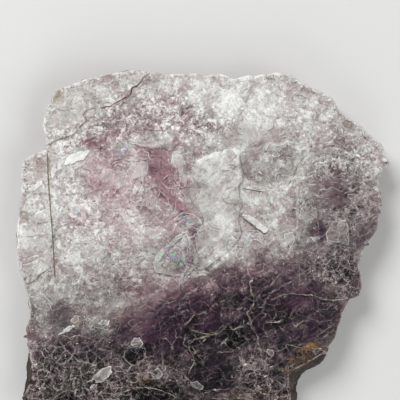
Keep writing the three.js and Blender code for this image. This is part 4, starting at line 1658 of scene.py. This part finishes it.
def sheet_net() -> bpy.types.NodeTree:
    """The net of broken sheet edges: the borders of warped cells, drawn on and off.

    Returns:
        The group. Line is 0 to 1, Tone is each cell's own value, Bowl is 1 in a cell's middle.
    """
    graph, given, made = new_group(
        "Sheet Net",
        [("Vector", VECTOR), ("Cell", FLOAT), ("Width", FLOAT), ("Gaps", FLOAT)],
        [("Line", FLOAT), ("Tone", FLOAT), ("Bowl", FLOAT)],
    )
    cell = graph.larger(given["Cell"], LEAST_SIZE)
    where = graph.shrunk(given["Vector"], cell)
    bent = graph.bent(where, 0.9, 1.55)
    border = graph.add("ShaderNodeTexVoronoi", {
        "Vector": bent, "Scale": 1.0}, feature="DISTANCE_TO_EDGE").outputs["Distance"]
    inside = graph.add("ShaderNodeTexVoronoi", {"Vector": bent, "Scale": 1.0})
    width = graph.div(given["Width"], cell)
    line = graph.sub(1.0, graph.div(border, width), clamp=True)
    drawn = graph.fractal(where, 1.3, 3.0, 0.65)
    on = graph.mad(graph.sub(drawn, given["Gaps"]), 6.0, 0.4, clamp=True)
    tone = graph.add("ShaderNodeSeparateColor", {0: inside.outputs["Color"]}).outputs[0]
    graph.feed(made, {
        "Line": graph.mul(line, on), "Tone": tone, "Bowl": graph.step(border, 0.04, 0.3),
    })
    return graph.tree


@dataclass(frozen=True)
class Tones:
    """Colours from the darkest to the palest, at their places from 0 to 1."""

    grey: tuple = (
        (0.0, 9, 8, 10), (0.2, 50, 45, 49), (0.4, 104, 97, 96),
        (0.6, 157, 153, 149), (0.78, 202, 201, 196), (1.0, 248, 249, 246),
    )
    lilac: tuple = (
        (0.0, 10, 5, 10), (0.2, 60, 38, 55), (0.4, 110, 80, 90),
        (0.6, 162, 128, 134), (0.78, 202, 176, 180), (1.0, 247, 236, 239),
    )


SKIN_FIELDS = (
    "Tone", "Lilac", "Busy", "Window", "Rust", "Iris", "Pale", "Ply", "Ply Slope", "Seam",
    "Seam Strength", "Vein", "Vein Strength", "Rim", "Edge", "Ridge",
)


@dataclass(frozen=True)
class MicaSkin:
    """The cleavage face's colour, roughness and fine relief, as a node group."""

    tones: Tones = Tones()

    def build(self, grain: bpy.types.NodeTree, net: bpy.types.NodeTree) -> bpy.types.NodeTree:
        """Makes the group.

        Args:
            grain: The Flake Grain group.
            net: The Sheet Net group.

        Returns:
            The group. It puts out Color, Roughness and Height.
        """
        graph, given, made = new_group(
            "Mica Skin",
            [("Vector", VECTOR), *((name, FLOAT) for name in SKIN_FIELDS)],
            [("Color", COLOUR), ("Roughness", FLOAT), ("Height", FLOAT)],
        )
        where, busy, pale = (given[name] for name in ("Vector", "Busy", "Pale"))
        dark = graph.sub(1.0, pale)
        step, mul, more, centred = graph.step, graph.mul, graph.more, graph.centred

        def use(tree: bpy.types.NodeTree, **inputs: float) -> bpy.types.NodeOutputs:
            """What a group puts out at this skin's place."""
            return graph.group(tree, {"Vector": where} | inputs)

        fine, coarse = use(grain, Size=0.55), use(grain, Size=1.5)
        wide = use(net, Cell=4.6, Width=0.12, Gaps=0.49)
        close = use(net, Cell=2.8, Width=0.16, Gaps=0.4)
        tight = use(net, Cell=1.1, Width=0.11, Gaps=0.46)

        # Frost: crumbled, pale-specked stretches. The dark face is glassy between them, with
        # streaks along its sheets' slope.
        crumbs = graph.fractal(where, 0.33, 5.0, 0.7)
        frost = step(more(centred(busy), crumbs, 0.28), 0.5, 0.6)
        glass = mul(dark, graph.sub(1.0, frost))
        leaning = graph.add("ShaderNodeMapping", {
            "Vector": where, "Rotation": (0.0, 0.0, 0.5), "Scale": (4.5, 1.0, 1.0),
        }, vector_type="TEXTURE").outputs[0]
        streak = graph.fractal(leaning, 0.6, 6.0, 0.6)
        streaky = more(mul(dark, pale), dark, 2.0)
        lively = graph.mad(dark, more(frost, -0.92, 0.6), 1.0)
        hair = graph.fractal(leaning, 1.1, 2.0, 0.5)
        hair = step(graph.size(centred(hair)), 0.03, 0.0)
        hair = mul(mul(hair, streaky), step(crumbs, 0.44, 0.56))

        # Silver islands: crisp-edged lobes where a noise is over its middle value, and their pale
        # rims, partly a painted highlight.
        lobe = centred(graph.fractal(where, 0.16, 9.0, 0.62, bend=0.8))
        film = step(lobe, -0.03, 0.03)
        pale_rim_and_highlight = step(graph.size(graph.add_to(lobe, -0.035)), 0.018, 0.0)

        # Sheet edges: a thin pale line where the sheet count passes a whole number, partly the pale
        # edge and partly a painted highlight, and a soft painted shade on its low side. Distances are
        # the count over its slope.
        count = more(centred(coarse["Grain"]), given["Ply"], 0.16)
        above = graph.fract(count)
        up = graph.div(above, given["Ply Slope"])
        down = graph.div(graph.sub(1.0, above), given["Ply Slope"])
        gaps = step(graph.fractal(where, 0.2, 3.0, 0.6), 0.46, 0.58)
        edge = mul(step(up, 0.3, 0.05), gaps)
        painted_shade_under_edge = mul(step(down, 0.9, 0.0), gaps)

        # Marks of the flakes, and the painted shade on the low side of veins and seams.
        soft = graph.fractal(where, 0.13, 4.0, 0.6)
        specks = mul(mul(frost, dark), mul(fine["Grain"], more(fine["Scale"], 0.4, 1.0)))
        pit = mul(step(busy, 0.55, 0.9), dark)
        blots, scales, strokes, cuts = (
            mul(busy, more(fine[name], coarse[name], share))
            for name, share in (("Blot", 0.35), ("Scale", 0.8), ("Thread", 0.6), ("Cut", 0.8))
        )
        vein_painted_shade, seam_painted_shade = (
            mul(mul(step(given[name], far, near), step(given[name], line, beside)),
                given[name + " Strength"])
            for name, far, near, line, beside in (
                ("Vein", -6.0, -1.5, -0.2, -1.5), ("Seam", -8.0, -1.5, 0.0, -1.0))
        )

        # The tone is the face's own, and by how much each mask makes it paler or darker.
        value = given["Tone"]
        for mask, amount in (
            (centred(soft), 0.32),
            (centred(film), more(busy, 0.03, 0.07)),
            (pale_rim_and_highlight, 0.05),
            (glass, -0.07),
            (mul(centred(streak), streaky), 0.5),
            (mul(centred(fine["Grain"]), lively), more(busy, 0.12, 0.27)),
            (mul(centred(coarse["Grain"]), lively), more(busy, 0.05, 0.1)),
            (mul(specks, more(pit, 1.0, -0.85)), 0.28),
            (hair, 0.12),
            (mul(blots, pale), -0.19),
            (scales, more(pale, 0.04, 0.24)),
            (strokes, more(pale, 0.02, 0.3)),
            (cuts, more(pale, -0.03, -0.22)),
            (mul(centred(wide["Tone"]), dark), 0.1),
            (mul(pit, more(close["Bowl"], 0.04, -1.0)), more(close["Tone"], 0.2, 0.26)),
            (vein_painted_shade, -0.13),
            (seam_painted_shade, -0.06),
            (painted_shade_under_edge, more(pale, -0.03, -0.11)),
            # Pale line along the outline of the body, leaves and flakes: partly the pale broken edge,
            # partly a painted highlight.
            (mul(step(given["Rim"], 0.9, 0.0), given["Edge"]), more(pale, 0.42, -0.18)),
        ):
            value = more(mask, value, amount)
        tint = given["Lilac"]
        for mask, amount in (
            (centred(coarse["Grain"]), 0.4), (centred(film), -0.22), (mul(blots, pale), 0.2),
            (strokes, -0.4),
        ):
            tint = more(mask, tint, amount)
        value, tint = graph.clamped(value), graph.clamped(tint)
        colour = graph.blend(
            tint, graph.ramp(value, self.tones.grey), graph.ramp(value, self.tones.lilac))
        green = graph.blend(1.0, colour, paint(206, 222, 212), "MULTIPLY")
        colour = graph.blend(given["Window"], colour, green)
        hue = graph.fractal(where, 1.4, 3.0, 0.7, output="Color")
        colour = graph.blend(0.14, colour, hue, "SOFT_LIGHT")

        # Pale lines: the net, the listed veins, the sheet edges and the torn fragments' borders.
        # Along the sheet edges and the fragments' raised borders they are partly painted highlight.
        small = graph.larger(close["Line"], mul(tight["Line"], 0.35))
        small = mul(small, step(busy, 0.3, 0.8))
        nets = graph.larger(mul(wide["Line"], 0.62), small)
        nets = mul(nets, more(dark, 0.1, 0.9))
        swing = graph.fractal(where, 0.7, 3.0, 0.6)
        band = graph.div(graph.size(given["Vein"]), more(swing, -1.4, 5.2))
        vein = mul(step(band, 1.0, 0.2), given["Vein Strength"])
        vein = mul(vein, graph.mad(fine["Grain"], 1.2, 0.25, clamp=True))
        lines = graph.larger(nets, vein)
        lines = graph.larger(lines, mul(edge, more(pale, 0.2, 0.5)))
        # Partly painted highlight: a pale line along the raised borders of the torn fragments.
        torn = mul(mul(given["Ridge"], frost), dark)
        lines = graph.larger(lines, mul(step(torn, 0.6, 1.0), 0.4))
        lines = mul(lines, graph.mad(fine["Grain"], 0.8, 0.5, clamp=True))
        ink = graph.ramp(graph.mad(pale, 0.8, mul(coarse["Grain"], 0.4)), (
            (0.0, 134, 113, 109), (0.2, 196, 182, 172), (0.6, 214, 208, 202), (1.0, 240, 238, 233)))
        colour = graph.blend(lines, colour, ink)

        # Rust, thin films' colours, and the seams, cracks and painted shadows: brown, but khaki on the
        # left.
        solid = mul(step(given["Rust"], 0.45, 0.9), 0.85)
        rust = mul(given["Rust"], graph.larger(solid, step(fine["Grain"], 0.1, 0.6)))
        stain = graph.ramp(fine["Grain"], ((0.0, 58, 36, 24), (0.5, 122, 86, 54), (1.0, 196, 164, 126)))
        colour = graph.blend(rust, colour, stain)
        rainbow = graph.fractal(where, 0.5, 2.0, 0.5)
        film_hue = graph.add("ShaderNodeCombineColor", {
            0: graph.fract(graph.mad(rainbow, 6.0, mul(given["Vein"], 0.22))), 1: 0.6, 2: 0.7,
        }, mode="HSV").outputs[0]
        shown = mul(given["Iris"], step(coarse["Grain"], 0.3, 0.55))
        colour = graph.blend(mul(shown, 0.9), colour, film_hue, "COLOR")
        gap = graph.size(given["Seam"])
        seam = mul(step(gap, 1.3, 0.3), given["Seam Strength"])
        across, up, _ = graph.add("ShaderNodeSeparateXYZ", {0: where}).outputs
        khaki = mul(step(across, -35.0, -44.0), step(up, -6.0, 0.0))
        crack = graph.blend(khaki, paint(116, 64, 48), paint(108, 98, 66))
        crack = graph.blend(step(across, -14.0, -10.0), crack, paint(84, 72, 66))
        colour = graph.blend(seam, colour, crack)

        rough = more(pale, 0.3, 0.18)
        rough = more(given["Window"], rough, -0.1)
        rough = graph.mad(centred(fine["Grain"]), 0.25, rough, clamp=True)
        height = mul(fine["Relief"], 0.04)
        height = mul(more(coarse["Relief"], height, 0.08), lively)
        for mask, amount in ((film, 0.04), (lines, 0.08), (seam, -0.1)):
            height = more(mask, height, amount)
        graph.feed(made, {"Color": colour, "Roughness": rough, "Height": height})
        return graph.tree


def new_material(
    name: str, plain: dict[str, float | tuple]
) -> tuple[bpy.types.Material, Graph, bpy.types.NodeInputs, bpy.types.NodeSocket]:
    """Starts a material with one Principled BSDF.

    Args:
        name: The material's name.
        plain: What is the same all over it, by the shader's socket.

    Returns:
        The material, its graph, its shader's sockets, and the place on the piece in mm.
    """
    material = bpy.data.materials.new(name)
    material.use_nodes = True
    material.node_tree.nodes.clear()
    graph = Graph(material.node_tree)
    shader = graph.add("ShaderNodeBsdfPrincipled", plain)
    graph.add("ShaderNodeOutputMaterial", {"Surface": shader.outputs[0]})
    place = graph.add("ShaderNodeTexCoord").outputs["Object"]
    return material, graph, shader.inputs, graph.vector("SCALE", place, Scale=1.0 / MM)


@dataclass(frozen=True)
class FaceFinish:
    """The front face: pearly and silvery above, glassy and dark below."""

    name: str = "mica_face"
    gloss: float = 0.3
    bump: float = 0.55

    def build(self, skin: bpy.types.NodeTree) -> bpy.types.Material:
        """Makes the material.

        Args:
            skin: The Mica Skin group.

        Returns:
            The material.
        """
        material, graph, shader, where = new_material(
            self.name, {"IOR": MICA_IOR, "Specular IOR Level": self.gloss})
        fields = {label: graph.attribute(label.lower().replace(" ", "_")) for label in SKIN_FIELDS}
        made = graph.group(skin, {"Vector": where} | fields)
        graph.feed(shader, {
            "Base Color": made["Color"],
            "Roughness": made["Roughness"],
            "Normal": graph.bump(made["Height"], self.bump, MM),
        })
        return material


@dataclass(frozen=True)
class EdgeFinish:
    """Thin torn sheet edges: cream to white, browner in places, whitest in part by painted highlight."""

    name: str = "mica_edge"
    roughness: float = 0.4

    def build(self) -> bpy.types.Material:
        """Makes the material.

        Returns:
            The material.
        """
        material, graph, shader, where = new_material(
            self.name, {"Roughness": self.roughness, "IOR": MICA_IOR})
        speck = graph.centred(graph.fractal(where, 1.6, 3.0, 0.7))
        value = graph.mad(speck, 1.1, graph.mul(graph.attribute("pale_glint"), 0.9), clamp=True)
        colour = graph.ramp(value, (
            (0.0, 58, 44, 50), (0.3, 126, 106, 104), (0.6, 192, 177, 168), (0.85, 234, 227, 219),
            (1.0, 248, 245, 240)))
        graph.feed(shader, {"Base Color": colour})
        return material


@dataclass(frozen=True)
class SideFinish:
    """The broken side: thin pages, pale and dark, lilac in clouds, darker brown towards the bottom:
    painted shade.
    """

    name: str = "mica_side"
    roughness: float = 0.6
    bump: float = 0.7
    page: float = 0.25

    def build(self, grain: bpy.types.NodeTree) -> bpy.types.Material:
        """Makes the material.

        Args:
            grain: The Flake Grain group.

        Returns:
            The material.
        """
        material, graph, shader, where = new_material(self.name, {"Roughness": self.roughness})
        pages = graph.fractal(graph.vector("MULTIPLY", where, (0.22, 0.22, 5.0)), 1.0, 4.0, 0.65)
        thick = graph.fractal(graph.vector("MULTIPLY", where, (0.1, 0.1, 1.3)), 1.0, 2.0, 0.5)
        flakes = graph.group(grain, {"Vector": where, "Size": 0.8})["Grain"]
        value = graph.mad(graph.centred(pages), 1.9, 0.45)
        value = graph.mad(graph.centred(thick), 0.9, value)
        value = graph.mad(graph.centred(flakes), 0.3, value, clamp=True)
        colour = graph.ramp(value, (
            (0.0, 44, 34, 32), (0.35, 118, 103, 97), (0.6, 174, 163, 154), (0.85, 216, 209, 200),
            (1.0, 240, 236, 228)))
        brown = graph.ramp(value, (
            (0.0, 16, 13, 10), (0.4, 52, 44, 34), (0.7, 92, 80, 62), (1.0, 158, 144, 120)))
        across = graph.add("ShaderNodeSeparateXYZ", {0: where}).outputs[1]
        # Painted shade: the side turns a darker brown towards the bottom.
        colour = graph.blend(graph.step(across, -8.0, -30.0), colour, brown)
        cloud = graph.fractal(where, 0.07, 3.0, 0.6)
        lilac = graph.blend(1.0, colour, paint(212, 186, 200), "MULTIPLY")
        colour = graph.blend(graph.step(cloud, 0.42, 0.6), colour, lilac)
        graph.feed(shader, {
            "Base Color": colour, "Normal": graph.bump(value, self.bump, self.page * MM)})
        return material


@dataclass(frozen=True)
class BackFinish:
    """The back cleavage face, dull lilac with flakes."""

    name: str = "mica_back"
    roughness: float = 0.45

    def build(self, grain: bpy.types.NodeTree) -> bpy.types.Material:
        """Makes the material.

        Args:
            grain: The Flake Grain group.

        Returns:
            The material.
        """
        material, graph, shader, where = new_material(self.name, {"Roughness": self.roughness})
        flakes = graph.group(grain, {"Vector": where, "Size": 1.6})["Grain"]
        cloud = graph.fractal(where, 0.06, 4.0, 0.6)
        value = graph.mad(graph.centred(flakes), 0.4, cloud, clamp=True)
        graph.feed(shader, {"Base Color": graph.ramp(value, Tones().lilac)})
        return material


# --- Stage

@dataclass(frozen=True)
class Studio:
    """A plain pale floor, soft lights and a camera over the face."""

    floor_size: float = 12.0
    lens: float = 100.0
    sensor: float = 36.0
    view_width: float = 120.0
    aim: tuple[float, float] = (-1.05, 14.7)

    def build(self) -> None:
        """Makes the floor, the lights, the world and the camera."""
        half = self.floor_size / 2 / MM
        places = np.array([(-half, -half, 0), (half, -half, 0), (half, half, 0), (-half, half, 0)])
        floor = put_mesh("floor", places.astype(float), [(np.arange(4)[None], 0, False)], {})
        paper = new_material("floor_paper", {"Base Color": paint(226, 226, 225), "Roughness": 0.9})[0]
        floor.data.materials.append(paper)
        self.light("key", (-0.55, 0.75, 0.85), 0.6, 12.5)
        self.light("fill", (0.8, -0.35, 0.8), 0.8, 4.0)
        self.light("rim", (0.1, -1.0, 0.5), 0.6, 2.5)
        self.world()
        camera = bpy.data.cameras.new("camera")
        camera.lens, camera.sensor_width = self.lens, self.sensor
        holder = bpy.data.objects.new("camera", camera)
        away = self.view_width * self.lens / self.sensor
        holder.location = (self.aim[0] * MM, self.aim[1] * MM, (FACE + away) * MM)
        bpy.context.scene.collection.objects.link(holder)
        bpy.context.scene.camera = holder
        bpy.context.scene.view_settings.view_transform = "Standard"

    @staticmethod
    def light(name: str, where: tuple[float, float, float], size: float, power: float) -> None:
        """Makes a square area light aimed at the crystal.

        Args:
            name: Its name.
            where: Its place in metres.
            size: Its side in metres.
            power: Its power in watts.
        """
        lamp = bpy.data.lights.new(name, "AREA")
        lamp.size, lamp.energy = size, power
        holder = bpy.data.objects.new(name, lamp)
        holder.location = where
        turn = Vector(where).to_track_quat("Z", "Y")
        holder.rotation_euler = turn.to_euler()
        bpy.context.scene.collection.objects.link(holder)

    @staticmethod
    def world() -> None:
        """A studio round the floor: pale walls at the horizon and a dim ceiling."""
        world = bpy.data.worlds.new("studio")
        world.use_nodes = True
        bpy.context.scene.world = world
        world.node_tree.nodes.clear()
        graph = Graph(world.node_tree)
        sky = graph.add("ShaderNodeTexCoord").outputs["Generated"]
        up = graph.add("ShaderNodeSeparateXYZ", {0: sky}).outputs[2]
        colour = graph.ramp(up, ((0.0, 226, 226, 225), (0.25, 214, 214, 214), (0.9, 120, 120, 122)))
        back = graph.add("ShaderNodeBackground", {"Color": colour, "Strength": 0.7})
        graph.add("ShaderNodeOutputWorld", {"Surface": back.outputs[0]})


def main() -> None:
    """Builds the stage and the pieces in order."""
    logging.basicConfig(level=logging.INFO, format="%(message)s")
    Studio().build()
    grain, net = flake_grain(), sheet_net()
    skin = MicaSkin().build(grain, net)
    book = MicaBook()
    skin_material = FaceFinish().build(skin)
    finish_piece(book.build(), (skin_material, SideFinish().build(grain), BackFinish().build(grain)))
    tongue = Leaf(TONGUE, tone=0.03, lilac=-0.35, busy=0.05, edge=0.8, lift=0.28)
    for piece in (
        placed_leaves(
            "loose_leaves", LEAVES, book.face, corners=48, shares=(1.0, 0.9, 0.75, 0.58, 0.4, 0.2)),
        placed_leaves(
            "silver_tongue", (tongue,), book.face, corners=180, shares=np.linspace(1.0, 0.04, 22)),
        *(flakes.build(book) for flakes in SCATTERS),
    ):
        finish_piece(piece, (skin_material,))
    finish_piece(TornEdges(book).build(), (EdgeFinish().build(),))
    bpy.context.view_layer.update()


if __name__ == "__main__":
    main()
